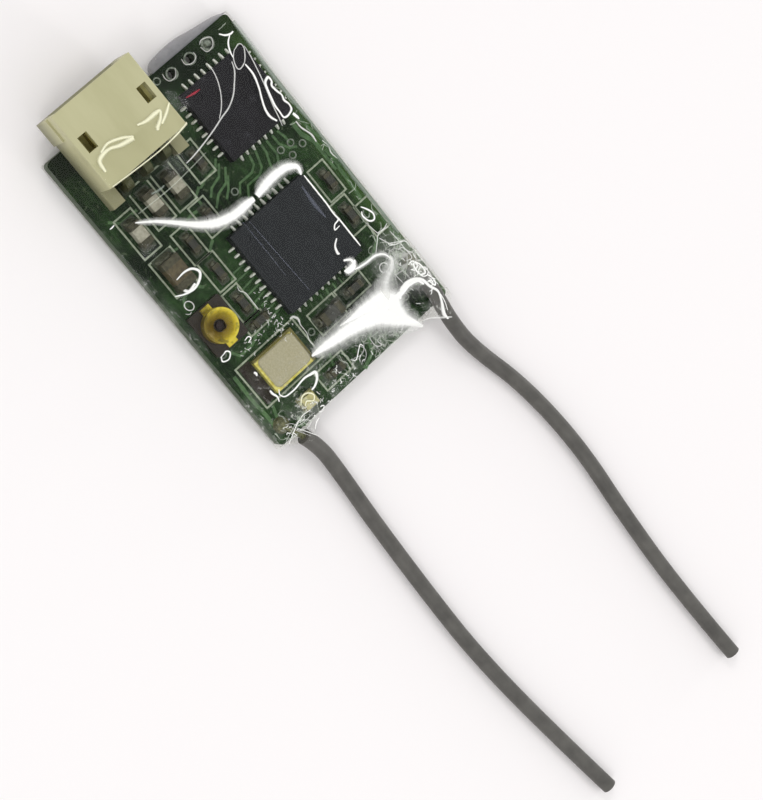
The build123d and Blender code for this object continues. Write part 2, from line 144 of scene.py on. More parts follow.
def tone(red, green, blue):
    # a screen colour of 0 to 255 as linear light
    light = [c / 255 for c in (red, green, blue)]
    return tuple(c / 12.92 if c < 0.04045 else ((c + 0.055) / 1.055) ** 2.4 for c in light) + (1,)


class Finish:
    # one material, and short ways to add its nodes
    def __init__(self, name):
        self.material = bpy.data.materials.new(name)
        self.material.use_nodes = True
        self.tree = self.material.node_tree
        self.tree.nodes.clear()
        place = self.node("TexCoord", output="Object")
        self.place = self.node("VectorMath", {"operation": "SCALE"}, {0: place, "Scale": 1000})

    def node(self, kind, settings=None, inputs=None, output=0):
        made = self.tree.nodes.new("ShaderNode" + kind)
        for key, value in (settings or {}).items():
            if key == "stops":
                ramp = made.color_ramp.elements
                while len(ramp) < len(value):
                    ramp.new(0.5)
                for stop, (spot, colour) in zip(ramp, value):
                    stop.position = spot
                    stop.color = colour
            else:
                setattr(made, key, value)
        for key, value in (inputs or {}).items():
            self.feed(made.inputs[key], value)
        return Field(self, made.outputs[output]) if len(made.outputs) else made

    def feed(self, socket, value):
        if isinstance(value, Field):
            self.tree.links.new(value.socket, socket)
        elif value is not None:
            socket.default_value = value

    def maths(self, operation, first, second=None):
        return self.node("Math", {"operation": operation}, {0: first, 1: second})

    def axes(self):
        apart = self.node("SeparateXYZ", inputs={0: self.place})
        return [Field(self, apart.socket.node.outputs[i]) for i in range(3)]

    def noise(self, scale, detail=3.0, rough=0.55, stretch=None):
        # noise in features per millimetre
        place = self.place
        if stretch:
            place = self.node("VectorMath", {"operation": "MULTIPLY"}, {0: place, 1: stretch})
        return self.node("TexNoise", inputs={"Vector": place, "Scale": scale, "Detail": detail,
                                                       "Roughness": rough})

    def cells(self, scale, feature="F1"):
        return self.node("TexVoronoi", {"feature": feature},
                         {"Vector": self.place, "Scale": scale}, "Distance")

    def ramp(self, value, *stops):
        # stops of place and grey or colour
        full = [(spot, c if isinstance(c, tuple) else (c, c, c, 1)) for spot, c in stops]
        return self.node("ValToRGB", {"stops": full}, {0: value})

    def blend(self, factor, first, second):
        return self.node("Mix", {"data_type": "RGBA"}, {0: factor, 6: first, 7: second}, 2)

    def twoTone(self, value, low, dark, pale):
        # the dark tone below a low value, the pale one as far above the middle
        return self.blend(self.ramp(value, (low, 0.0), (1 - low, 1.0)), tone(*dark), tone(*pale))

    def limit(self, value, top):
        return self.maths("MINIMUM", top, self.maths("MAXIMUM", value, 0.0))

    def bump(self, height, strength, distance):
        return self.node("Bump", inputs={"Height": height, "Strength": strength,
                                                   "Distance": distance * mm})

    def surface(self, colour, rough, **more):
        inputs = {"Base Color": colour, "Roughness": rough}
        inputs.update({key.replace("_", " "): value for key, value in more.items()})
        return self.finished(self.node("BsdfPrincipled", inputs=inputs))

    def veil(self, cover, colour, rough):
        # shows as much as the cover says and is clear elsewhere
        body = self.node("BsdfPrincipled", inputs={"Base Color": colour, "Roughness": rough})
        clear = self.node("BsdfTransparent", inputs={"Color": (1, 1, 1, 1)})
        return self.finished(self.node("MixShader", inputs={0: cover, 1: clear, 2: body}))

    def finished(self, shader):
        self.node("OutputMaterial", inputs={0: shader})
        return self.material


# mesh helpers
def addMesh(name, points, faces, material, smooth=True, across=None):
    # points in millimetres and four-sided faces as arrays become one piece on the root body
    mesh = bpy.data.meshes.new(name)
    faces = np.asarray(faces, dtype=np.int32)
    mesh.vertices.add(len(points))
    mesh.vertices.foreach_set("co", (np.asarray(points) * mm).astype(np.float32).ravel())
    mesh.loops.add(faces.size)
    mesh.loops.foreach_set("vertex_index", faces.ravel())
    mesh.polygons.add(len(faces))
    mesh.polygons.foreach_set("loop_start", np.arange(0, faces.size, 4, dtype=np.int32))
    mesh.update(calc_edges=True)
    mesh.polygons.foreach_set("use_smooth", np.full(len(faces), smooth))
    if across is not None:
        # the piece's own map: along in U, across in V
        layer = mesh.uv_layers.new(name="along")
        layer.data.foreach_set("uv", across[faces.ravel()].astype(np.float32).ravel())
    mesh.materials.append(material)
    mesh.validate()
    made = bpy.data.objects.new(name, mesh)
    bpy.context.collection.objects.link(made)
    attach(made, "root")
    return made


def gridFaces(rows, columns, closed=False):
    # four corners of each cell of a grid that is stored row by row
    row, column = np.meshgrid(np.arange(rows - 1), np.arange(columns - (0 if closed else 1)), indexing="ij")
    after = (column + 1) % columns
    return np.stack([row * columns + column, (row + 1) * columns + column,
                     (row + 1) * columns + after, row * columns + after], axis=-1).reshape(-1, 4)


def repeatFaces(faces, count, size):
    # the same faces for each of several copies of a shape that has size points
    return (faces[None] + (np.arange(count) * size)[:, None, None]).reshape(-1, 4)


def smoothPath(points, step):
    # a Catmull-Rom curve through the points, sampled about every step
    p = np.asarray(points, dtype=float)
    p = np.vstack([2 * p[0] - p[1], p, 2 * p[-1] - p[-2]])
    runs = []
    for a, b, c, d in zip(p, p[1:], p[2:], p[3:]):
        n = max(2, int(np.linalg.norm((c - b)[:2]) / step))
        t = np.linspace(0, 1, n, endpoint=False)[:, None]
        runs.append(0.5 * (2 * b + (c - a) * t + (2 * a - 5 * b + 4 * c - d) * t ** 2
                           + (3 * b - a - 3 * c + d) * t ** 3))
    return np.vstack(runs + [p[-2][None]])


# finishes
def boardFinish():
    # dark green solder mask with faint copper under it, in darker and paler patches
    f = Finish("greenBoard")
    x, y, z = f.axes()
    cloud = f.noise(0.28, 4)
    grain = f.noise(3.0, 2)
    lanes = f.noise(1.0, 2, stretch=(0.5, 3.2, 1))
    base = f.twoTone(cloud, 0.38, (14, 30, 12), (46, 74, 38))
    base = f.blend(f.ramp(lanes, (0.54, 0.0), (0.6, 0.3)), base, tone(62, 92, 52))
    base = f.blend(f.ramp(grain, (0.4, 0.4), (0.6, 0.0)), base, tone(10, 20, 10))
    fleck = f.ramp(f.noise(3.5, 2, 0.6), (0.6, 0.0), (0.7, 0.3))
    base = f.blend(fleck, base, tone(120, 134, 104))
    # painted highlight: a paler green band along the +Y edge, where the film's edge catches the light
    rim = f.ramp(y * 0.1 + cloud * 0.1, (0.66, 0.0), (0.74, 0.6))
    base = f.blend(rim, base, tone(76, 108, 52))
    # painted shade: darker towards the socket's end of the board, round the wire holes
    cornerShade = f.limit((-8.5 - x) * 0.9, 0.75)
    base = f.blend(cornerShade, base, tone(14, 26, 10))
    bare = (abs(x - 7.6) < 1.4) * (abs(y + 5.85) < 0.42) * 0.8
    base = f.blend(bare, base, tone(50, 38, 38))
    edge = (z < 1.05) * 0.55
    base = f.blend(edge, base, tone(58, 80, 42))
    return f.surface(base, 0.32 + grain * 0.12, Normal=f.bump(lanes + grain * 0.2, 0.25, 0.03),
                     Specular_IOR_Level=0.15)


def flatPaint(name, colour, second, rough, scale=4.0, metal=0.0, coat=0.0):
    # one finish in two close tones with a fine grain
    f = Finish(name)
    spots = f.noise(scale, 4)
    colours = f.twoTone(spots, 0.35, colour, second)
    return f.surface(colours, rough + spots * 0.14 - 0.07, Metallic=metal, Normal=f.bump(spots, 0.15, 0.01),
                     Coat_Weight=coat)


def ivoryFinish():
    # moulded plastic: faint flow marks, painted shade that darkens it near the board, and a painted shade tone
    # inside its cavity
    f = Finish("ivoryMoulding")
    x, y, z = f.axes()
    flow = f.noise(0.5, 3, stretch=(0.4, 1.6, 1))
    grain = f.noise(14, 2)
    base = f.twoTone(flow, 0.3, (180, 177, 136), (191, 188, 148))
    # painted shade: darker and greyer towards the board
    low = f.limit((3.6 - z) * 0.5, 1.0) * 0.7
    base = f.blend(low, base, tone(100, 99, 76))
    # painted shade: a darker, yellower tone on the walls inside the socket's cavity
    within = (z < 4.4) * (z > 1.3) * (abs(y + 3.05) < 2.6) * (abs(x + 10.1) < 2.3)
    base = f.blend(within * 0.9, base, tone(176, 170, 108))
    return f.surface(base, 0.42 + flow * 0.1, Normal=f.bump(grain, 0.08, 0.01))


def chipFinish(name, dark, pale, scuffs):
    # matt mould compound with wipe marks and a few scuffs
    f = Finish(name)
    grit = f.noise(2.5, 2)
    wipe = f.noise(0.7, 4, stretch=(1, 3.5, 1))
    marks = f.ramp(f.noise(1.1, 5, 0.65), (0.58, 0.0), (0.72, 1.0))
    base = f.twoTone(wipe, 0.3, dark, pale)
    base = f.blend(marks * scuffs, base, tone(82, 82, 90))
    base = f.blend(grit * 0.08, base, tone(12, 12, 15))
    return f.surface(base, 0.5 + wipe * 0.12, Specular_IOR_Level=0.25)


def metalFinish(name, dark, pale, rough, scale=6.0, speckle=0.0, metal=0.85):
    # plated or soldered metal, mottled, with speckles where wanted
    f = Finish(name)
    mottle = f.noise(scale, 4)
    base = f.twoTone(mottle, 0.35, dark, pale)
    if speckle:
        specks = f.ramp(f.noise(16, 3, 0.7), (0.58, 0.0), (0.66, 1.0))
        base = f.blend(specks * speckle, base, tone(236, 232, 214))
    return f.surface(base, rough + mottle * 0.2 - 0.1, Metallic=metal, Normal=f.bump(mottle, 0.3, 0.015))


def contactFinish(name):
    # plated wire with painted shade: brown as it looks in the socket's shade, dull green where the film dims it
    # behind
    f = Finish(name)
    x = f.axes()[0]
    mottle = f.noise(5.0, 3)
    # painted shade: brown as the plating looks in the socket's shade
    base = f.twoTone(mottle, 0.35, (150, 140, 86), (178, 168, 110))
    # painted shade: dull green where it lies dim behind the film
    base = f.blend((x > -7.3) * 0.9, base, tone(50, 58, 38))
    return f.surface(base, 0.4 + mottle * 0.1, Metallic=0.3, Specular_IOR_Level=0.3)


def dishFinish(name, middle):
    # gilding by its distance from the middle, with painted light: a dark throat of painted shade, a dull dish
    # and a bright lip of painted highlight, and painted shade that darkens it towards one side
    f = Finish(name)
    x, y = f.axes()[:2]
    east, north = x - middle[0], y - middle[1]
    out = (east * east + north * north) ** 0.5
    stainAndShade = f.noise(3.0, 4)
    # painted shade in the throat, painted highlight on the lip
    base = f.ramp(out + stainAndShade * 0.3 - 0.15, (0.36, tone(30, 20, 22)), (0.42, tone(126, 106, 28)),
                  (0.74, tone(164, 144, 36)), (0.86, tone(210, 188, 46)), (1.0, tone(228, 210, 74)))
    # painted shade: darker on the side away from the light
    side = f.ramp((east * -0.3 - north * 0.95) * 0.45 + 0.5 + stainAndShade * 0.4 - 0.2, (0.45, 0.0), (0.85, 0.85))
    base = f.blend(side, base, tone(84, 64, 20))
    base = f.blend(f.ramp(stainAndShade, (0.5, 0.0), (0.66, 0.6)), base, tone(92, 84, 18))
    return f.surface(base, 0.25 + stainAndShade * 0.15, Metallic=0.45, Normal=f.bump(stainAndShade, 0.5, 0.04))


def trayFinish(name, middle, half):
    # gilt on the two sides that face the light, painted shade in dull olive on the others
    f = Finish(name)
    x, y = f.axes()[:2]
    wearAndShade = f.noise(3.0, 3)
    far = f.maths("MAXIMUM", (middle[0] - x) / half[0], (y - middle[1]) / half[1])
    # painted shade: dull olive on the two sides away from the light
    shade = f.ramp(far + wearAndShade * 0.1 - 0.05, (0.84, 0.0), (0.9, 0.85))
    base = f.twoTone(wearAndShade, 0.35, (196, 184, 70), (236, 228, 130))
    return f.surface(f.blend(shade, base, tone(70, 66, 38)), 0.3 + wearAndShade * 0.1, Metallic=0.35,
                     Normal=f.bump(wearAndShade, 0.3, 0.02))


def wireFinish():
    # soft grey insulation with a dull bloom along it
    f = Finish("greyInsulation")
    bloom = f.noise(0.9, 4)
    grain = f.noise(9, 3)
    base = f.twoTone(bloom, 0.3, (72, 70, 66), (92, 90, 85))
    return f.surface(base, 0.42 + grain * 0.16, Normal=f.bump(grain, 0.12, 0.01))


def filmFinish(name, rough, mirror, bunched):
    # clear film: what lies behind shows through, with gloss by the angle, thin haze in
    # patches towards the antennas' end and the long edges, fine flecks of painted glint, and a web of painted
    # glints on creases about each bunched place, given by its X, Y and reach
    f = Finish(name)
    x, y = f.axes()[:2]
    patches = f.ramp(f.noise(0.55, 3), (0.46, 0.0), (0.66, 1.0))
    fleckGlints = f.ramp(f.noise(3.5, 3, 0.7), (0.57, 0.0), (0.66, 1.0))
    there = f.ramp(f.maths("MAXIMUM", x * 0.1 - 0.2, abs(y) * 0.6 - 3.7), (0.4, 0.0), (0.85, 1.0))
    there = there * f.ramp(x * 0.1 + 1.0, (0.4, 0.0), (0.8, 1.0))
    # partly real haze, partly painted glints: the flecks show as white specks
    hazeAndGlints = (patches * 0.12 + fleckGlints * (patches + 0.35) * 0.5) * there
    # painted glints along a web of creases
    webGlints = f.ramp(f.cells(1.3, "DISTANCE_TO_EDGE") + fleckGlints * 0.03, (0.02, 1.0), (0.09, 0.0))
    for mx, my, reach in bunched:
        east, north = (x - mx) / reach, (y - my) / reach
        close = f.ramp((east * east + north * north) ** 0.5, (0.3, 1.0), (1.0, 0.0))
        hazeAndGlints = hazeAndGlints + close * (webGlints * 0.3 + patches * 0.1 + 0.12)
    gloss = f.node("BsdfAnisotropic", inputs={"Color": (1, 1, 1, 1), "Roughness": rough})
    clear = f.node("BsdfTransparent", inputs={"Color": (0.985, 0.985, 0.975, 1)})
    milk = f.node("BsdfDiffuse", inputs={"Color": (0.9, 0.9, 0.86, 1)})
    bend = f.node("Fresnel", inputs={"IOR": 1.5})
    body = f.node("MixShader", inputs={0: hazeAndGlints, 1: clear, 2: milk})
    return f.finished(f.node("MixShader", inputs={0: bend * mirror, 1: body, 2: gloss}))


def lipFinish(name):
    # smoky film seen nearly edge on, its grey partly painted shadow
    f = Finish(name)
    smokeAndShadow = f.noise(1.5, 3)
    # painted shadow: grey tones on the smoky film
    grey = f.blend(smokeAndShadow, tone(96, 96, 100), tone(132, 132, 138))
    return f.veil(0.55 + smokeAndShadow * 0.25, grey, 0.4)


def foldFinish(name, rough, thick, ragged=0.4, colour=(1, 1, 0.97, 1)):
    # a fold in the film with painted glare on it: clear at its two feet, solid and bright towards its crest
    # as a painted highlight, with hairs across it where its edges fade
    f = Finish(name)
    place = f.node("TexCoord", output="UV")
    across = f.node("SeparateXYZ", inputs={0: place}, output=1)
    hairs = f.node("TexNoise", inputs={
        "Vector": f.node("VectorMath", {"operation": "MULTIPLY"}, {0: place, 1: (7.0, 2.0, 1)}),
        "Scale": 1.0, "Detail": 4.0, "Roughness": 0.6})
    halfTurn = 3.14159  # a little short of pi, so that the sine stays above zero
    # painted highlight: the veil grows solid and bright towards the crest
    crest = f.maths("SINE", across * halfTurn) ** 1.8
    return f.veil(f.limit((crest - hairs * ragged) * thick, min(thick, 1.0)), colour, rough)


paint = {
    "board": boardFinish(),
    "ivory": ivoryFinish(),
    "controller": chipFinish("controllerMoulding", (21, 20, 24), (35, 34, 39), 0.35),
    "radio": chipFinish("radioMoulding", (31, 34, 37), (41, 44, 47), 0.08),
    "lid": metalFinish("crystalCover", (170, 164, 134), (184, 178, 148), 0.38, 9.0, 0.25, 0.4),
    "rim": trayFinish("gildedTray", (7.575, -3.8), (1.25, 1.6)),
    "dish": dishFinish("giltDish", (3.325, -5.55)),
    "contact": contactFinish("contactPlating"),
    "tails": metalFinish("tailSolder", (44, 56, 38), (78, 88, 66), 0.4, metal=0.3),
    "solder": metalFinish("solder", (196, 200, 188), (240, 242, 234), 0.3, metal=0.3),
    "pad": metalFinish("tinnedPad", (96, 104, 92), (150, 158, 146), 0.4),
    "ends": metalFinish("dullTin", (58, 56, 42), (84, 82, 64), 0.42, metal=0.3),
    "ceramic": flatPaint("brownCeramic", (70, 62, 42), (96, 86, 60), 0.5),
    "tan": flatPaint("tanCeramic", (150, 147, 130), (182, 179, 162), 0.5),
    "ferrite": flatPaint("darkFerrite", (44, 46, 40), (62, 62, 54), 0.55),
    "black": flatPaint("testSocketBase", (30, 24, 17), (46, 38, 27), 0.5),
    "throat": flatPaint("throatPin", (34, 24, 26), (50, 38, 36), 0.4, metal=0.4),
    "sunk": metalFinish("filmedSolder", (62, 68, 44), (122, 122, 88), 0.4, metal=0.2),
    "lampBase": flatPaint("lampBase", (128, 124, 80), (156, 152, 100), 0.5),
    "lampLens": flatPaint("lampLens", (176, 170, 108), (206, 200, 140), 0.2, coat=0.5),
    "print": flatPaint("printedWhite", (136, 146, 124), (180, 190, 168), 0.6, 6.0),
    "endSolder": metalFinish("chipEndSolder", (62, 64, 50), (112, 114, 96), 0.36, metal=0.3),
    "endPad": metalFinish("coveredPad", (44, 54, 38), (72, 80, 62), 0.4, metal=0.2),
    "track": flatPaint("coveredTrack", (54, 86, 46), (82, 118, 70), 0.34, 3.0),
    "wire": wireFinish(),
    "film": filmFinish("clearFilm", 0.07, 0.16, [(8.2, 6.2, 2.6)]),
    "lip": lipFinish("shadowedLip"),
    # painted glare: the veils from here down lie on the film's ridges and stand in for its highlights and
    # glints
    "fold": foldFinish("filmGlareFold", 0.3, 1.9),
    "faintFold": foldFinish("faintFold", 0.3, 0.9, 0.45),
    "glow": foldFinish("foldGlow", 0.4, 0.6, 0.5),
    "soft": foldFinish("softGlareFold", 0.4, 0.9, 0.6),
    "wisp": foldFinish("glareWisp", 0.4, 0.42, 0.25, tone(226, 236, 218)),
    "band": foldFinish("glareBand", 0.4, 0.75, 0.35, tone(150, 160, 150)),
    "hair": foldFinish("glareHair", 0.4, 0.2, 0.1, tone(176, 182, 204)),
    "red": foldFinish("redGlint", 0.4, 0.7, 0.3, tone(214, 60, 84)),
    "cream": foldFinish("creamGlareFold", 0.25, 1.1, 0.2, tone(250, 248, 214)),
}

for wire in wires:
    wire.data.materials.append(paint["wire"])

nodePaint = {
    "circuit_board": "board", "lead_socket": "ivory", "tail_solder": "tails", "wire_hole_solder": "pad",
    "controller_chip": "controller", "radio_chip": "radio", "controller_solder_joints": "solder",
    "radio_solder_joints": "solder", "crystal_tray": "rim", "crystal_lid": "lid",
    "test_socket_base": "black", "test_socket_contact": "throat", "test_socket_shell": "dish",
    "chip_solder_joints": "solder", "lamp_base": "lampBase", "lamp_lens": "lampLens",
    "antenna_1_core": "sunk", "antenna_2_core": "sunk", "antenna_1_solder": "sunk",
    "antenna_2_solder": "sunk", "bulk_capacitor": "ceramic", "shrink_sleeve": "film",
    "capacitor_2": "tan", "capacitor_3": "tan", "capacitor_4": "tan",
}


def finishFor(node):
    if node in nodePaint:
        return paint[nodePaint[node]]
    if node.endswith("_ends"):
        return paint["ends"]
    if node.startswith("socket_contact"):
        return paint["contact"]
    return paint["ferrite"]


def paintNodes():
    for node in bpy.data.objects:
        if node.type == "MESH" and node.data.materials:
            for i in range(len(node.data.materials)):
                node.material_slots[i].material = finishFor(node.name)


paintNodes()
print("finishes made")


# what is printed and plated
graphics = {
    "level": 1.12,
    "line": 0.11,
    "ink": 0.012,
    "frames": [(-4.93, -0.07, 2.43, 1.28), (-4.7, -2.12, 2.94, 1.39), (-4.72, -3.84, 2.98, 1.42),
               (-3.91, -5.66, 2.89, 1.35), (-1.94, -1.69, 2.29, 1.24), (-1.39, -3.59, 2.29, 1.21),
               (0.88, -3.42, 2.22, 1.28), (3.27, -3.52, 2.15, 1.21), (-0.8, -5.48, 2.6, 1.7),
               (1.22, 5.62, 2.36, 1.28), (3.72, 5.34, 2.36, 1.28), (4.72, 6.48, 2.29, 1.14),
               (7.26, 2.56, 1.25, 2.13), (7.4, 0.28, 1.6, 2.13), (10.27, -1.64, 1.3, 2.28),
               (7.63, -4.02, 3.05, 4.77), (4.8, -3.55, 0.9, 1.5)],
    "rings": [(-9.745, 5.15, 0.44, 0.3), (-9.745, 3.69, 0.4, 0.3), (-9.745, 2.23, 0.4, 0.3)],
    "vias": [(-1.49, 5.91), (-2.0, 5.34), (-2.05, 4.55), (-2.0, 0.64), (7.53, -1.21), (-9.98, 1.2),
             (-1.35, 4.95), (9.9, 4.9), (4.9, -6.4)],
    "via": (0.25, 0.17),
    # covered tracks by their width: X and Y at each corner
    "tracks": {
        0.16: [
            [(-4.26, 1.02), (-3.85, 0.66), (-3.71, -0.33), (-3.5, -0.9)],
            [(-3.91, 0.97), (-3.29, 0.45), (-3.08, -0.33), (-2.67, -0.76)],
            [(-3.5, 1.16), (-2.74, 0.55), (-2.53, -0.26), (-1.97, -0.9)],
            [(-3.01, 0.95), (-2.39, 0.45), (-1.97, -0.05)],
            [(-3.08, 3.29), (-2.04, 2.94), (-1.76, 2.51), (-1.76, 1.52), (-1.14, 1.09)],
            [(-3.08, 2.8), (-2.46, 2.65), (-2.18, 2.23), (-2.18, 1.23), (-1.69, 0.8)],
            [(-3.08, 3.79), (-2.53, 3.76), (-1.97, 3.51), (-1.42, 3.37)],
            [(-3.08, 4.22), (-2.04, 4.22), (-1.42, 3.86)],
            [(-3.08, 4.72), (-2.39, 4.72), (-1.83, 5.07), (-1.56, 5.5)],
            [(-3.08, 5.14), (-2.53, 5.29), (-2.04, 5.29)], [(-6.83, -0.76), (-6.69, -1.47), (-6.27, -2.04)],
            [(-1.69, -4.32), (-1.97, -5.17), (-1.97, -6.03)],
        ],
        0.3: [
            [(-2.87, 6.21), (-1.97, 6.21), (-1.14, 6.57), (1.08, 6.61)],
        ],
        0.2: [
            [(-3.08, 6.78), (-1.97, 6.85), (-1.14, 6.99), (1.08, 6.99)],
            [(-3.64, -0.9), (-3.29, -1.47), (-2.67, -1.47)], [(-5.02, -4.75), (-5.02, -6.03), (-5.58, -6.6)],
            [(-2.53, -1.47), (-2.67, -2.33), (-2.53, -3.18)], [(-0.72, -2.33), (-0.31, -2.9)],
            [(4.97, 6.99), (5.94, 6.92), (7.46, 6.99)],
            [(5.24, -3.75), (5.66, -4.6), (5.66, -5.6), (4.97, -6.03)],
            [(9.27, -1.19), (9.96, -1.47), (10.24, -0.9)], [(9.96, 3.37), (10.79, 2.94), (11.49, 2.94)],
            [(9.27, -6.03), (10.24, -6.38), (11.07, -6.03), (11.49, -5.17)],
            [(1.08, -4.6), (0.53, -5.17), (0.8, -6.03), (1.22, -6.31)],
        ],
        0.12: [
            [(1.64, -1.83), (1.64, -2.61), (1.91, -3.04)], [(2.13, -1.83), (2.16, -2.97)],
            [(2.65, -1.83), (2.77, -2.97)], [(3.16, -1.83), (3.23, -2.97)],
            [(3.69, -1.83), (3.83, -2.75), (4.27, -3.18)], [(4.16, -1.83), (4.27, -2.61)],
            [(4.66, -1.83), (4.72, -2.9)], [(5.15, -1.83), (5.19, -2.61), (5.52, -3.18)],
            [(6.14, 2.3), (6.63, 2.3)], [(6.14, 1.77), (6.7, 1.77)], [(6.14, 1.23), (6.63, 1.16)],
            [(6.14, 0.73), (6.63, 0.66)],
        ],
        0.25: [
            [(5.94, 5.93), (6.56, 5), (6.56, 3.51)], [(-0.31, 6.78), (1.77, 6.75), (3.58, 6.64)],
            [(9.68, 2.23), (10.24, 1.37), (11.07, 0.95), (11.49, -0.05)],
            [(6.35, -6.74), (8.02, -6.81), (9.41, -6.74), (10.79, -6.74)],
        ],
    },
    "sunk": 0.01,  # how far each foot lies below the board's skin, so that no gap shows
    "trackHigh": 0.006,
    "padHigh": 0.016,
    "viaHigh": 0.02,
    "ringHigh": 0.03,
}
level = graphics["level"]
foot = level - graphics["sunk"]
corner = np.array([(-1, -1), (1, -1), (1, 1), (-1, 1)]) / 2  # of a square about its middle
circleSteps = 24


def lifted(loops, heights):
    # flat loops of several shapes, one loop at each height, as one list of points
    at = [np.concatenate([flat, np.full(flat.shape[:2] + (1,), z)], axis=-1) for flat, z in zip(loops, heights)]
    return np.stack(at, axis=1).reshape(-1, 3)


def framePoints(boxes, line, high):
    # four nested rectangles for each box: outer foot, outer top, inner top, inner foot
    boxes = np.asarray(boxes, dtype=float)
    outer, inner = (boxes[:, None, :2] + corner * (boxes[:, None, 2:] + grow) for grow in (line, -line))
    return lifted((outer, outer, inner, inner), (foot, high, high, foot))


def makeRings(piece, places, high):
    # an annulus for each place, as X, Y, outer and inner reach: outer foot, outer top, inner top
    # and inner foot circles
    places = np.asarray(places, dtype=float)
    angle = np.linspace(0, 2 * np.pi, circleSteps, endpoint=False)
    circle = np.stack([np.cos(angle), np.sin(angle)], axis=-1)
    outer, inner = (places[:, None, :2] + circle * places[:, None, which, None] for which in (2, 3))
    addMesh(piece, lifted((outer, outer, inner, inner), (foot, high, high, foot)),
            repeatFaces(gridFaces(4, circleSteps, closed=True), len(places), 4 * circleSteps), paint["pad"],
            smooth=False)


def ribbonPoints(corners, width, high):
    # a track: at each corner the two sides step out square to the mean of the runs there; the
    # foot is a little wider than the width and the top a little narrower
    line = np.asarray(corners, dtype=float)
    run = np.diff(line, axis=0)
    run /= np.linalg.norm(run, axis=1, keepdims=True)
    mean = np.vstack([run[:1], run[:-1] + run[1:], run[-1:]])
    mean /= np.linalg.norm(mean, axis=1, keepdims=True)
    out = np.stack([-mean[:, 1], mean[:, 0]], axis=-1) * width
    sides = [(-0.62, foot), (-0.4, high), (0.4, high), (0.62, foot)]
    return np.stack([np.column_stack([line + out * s, np.full(len(line), z)]) for s, z in sides], axis=1)


def slabs(rectangles, high):
    # flat plates: X, Y, length, width and heading of each; four feet, then four top corners
    r = np.asarray(rectangles, dtype=float)
    local = corner * r[:, None, 2:4]
    c, s = np.cos(r[:, 4])[:, None], np.sin(r[:, 4])[:, None]
    flat = np.stack([local[..., 0] * c - local[..., 1] * s, local[..., 0] * s + local[..., 1] * c], axis=-1)
    flat = flat + r[:, None, :2]
    faces = np.array([(0, 1, 5, 4), (1, 2, 6, 5), (2, 3, 7, 6), (3, 0, 4, 7), (4, 5, 6, 7)])
    return lifted((flat, flat), (foot, high)), repeatFaces(faces, len(r), 8)


def makeTracks():
    points, faces, count = [], [], 0
    for width, routes in graphics["tracks"].items():
        for corners in routes:
            ribbon = ribbonPoints(corners, width, level + graphics["trackHigh"])
            points.append(ribbon.reshape(-1, 3))
            faces.append(gridFaces(len(corners), 4)[:, ::-1] + count)
            count += ribbon.shape[0] * 4
    addMesh("coveredTracks", np.vstack(points), np.vstack(faces), paint["track"])


makeTracks()
addMesh("printedFrames", framePoints(graphics["frames"], graphics["line"], level + graphics["ink"]),
        repeatFaces(gridFaces(4, 4, closed=True), len(graphics["frames"]), 16), paint["print"], smooth=False)
makeRings("holeRings", graphics["rings"], level + graphics["ringHigh"])
makeRings("viaRings", [place + graphics["via"] for place in graphics["vias"]], level + graphics["viaHigh"])
print("board graphics made")


# solder at every terminal and at every plated end
chipParts = (["capacitor_" + str(i) for i in range(1, 11)] + ["bulk_capacitor", "resistor_1"]
             + ["inductor_" + str(i) for i in range(1, 4)])
joints = {
    "bead": (0.4, 0.19, 0.23),  # reach, width and height at a chip package
    "packages": {"controller": (-5.985, 4.05, 5.0, 8), "radio": (2.745, 1.34, 6.0, 10)},
    "pitch": 0.5,
    "wobble": (0.85, 1.1),
    "lift": 0.004,
    "endReach": (0.27, 0.8, 0.3),  # for a part of its height: 0.27 times (0.8 plus 0.3 times the height)
    "endShare": 0.45,  # of the part's height
    "endWidth": 0.96,  # of the part's width
    # the pad at each end: how far its middle lies outwards, its length, and its width past the part's
    "pad": (0.06, 0.62, 0.16),
}


def packageFeet(x, y, size, count):
    # where each terminal's joint starts, four rows round a square package
    step = (np.arange(count) - (count - 1) / 2) * joints["pitch"]
    feet = []
    for quarter in range(4):
        a = quarter * np.pi / 2
        c, s = np.cos(a), np.sin(a)
        feet.append(np.column_stack([x + c * size / 2 - s * step, y + s * size / 2 + c * step,
                                     np.full(count, a)]))
    return np.vstack(feet)


def beads(feet, reach, width, height):
    # s runs 0 to 1 from the package to the toe and t -1 to 1 across: the bead is as high as
    # height times (1 - s to the 1.6) times the root of (1 - t to the fourth), and rounds in at its toe
    steps = 7
    s, t = np.meshgrid(np.linspace(0, 1, steps), np.linspace(-1, 1, steps), indexing="ij")
    rise = (1 - s ** 1.6) * np.sqrt(np.maximum(1 - t ** 4, 0))
    narrow = np.sqrt(np.maximum(1 - 0.75 * s ** 4, 0))
    feet, reach, width, height = (np.asarray(v, dtype=float) for v in (feet, reach, width, height))
    out = reach[..., None, None] * s
    side = width[..., None, None] / 2 * t * narrow
    c, n = np.cos(feet[:, 2])[:, None, None], np.sin(feet[:, 2])[:, None, None]
    px = feet[:, 0][:, None, None] + out * c - side * n
    py = feet[:, 1][:, None, None] + out * n + side * c
    pz = level + joints["lift"] + height[..., None, None] * rise + 0 * px
    points = np.stack([px, py, pz], axis=-1).reshape(-1, 3)
    return points, repeatFaces(gridFaces(steps, steps), len(feet), steps ** 2)


def makePackageJoints():
    reach, width, height = joints["bead"]
    for name, (x, y, size, count) in joints["packages"].items():
        feet = packageFeet(x, y, size, count)
        wobble = np.random.default_rng(len(name)).uniform(*joints["wobble"], len(feet))
        points, faces = beads(feet, reach * wobble, np.full(len(feet), width), height * wobble)
        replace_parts(addMesh(name + "Joints", points, faces, paint["solder"]), name + "_solder_joints")


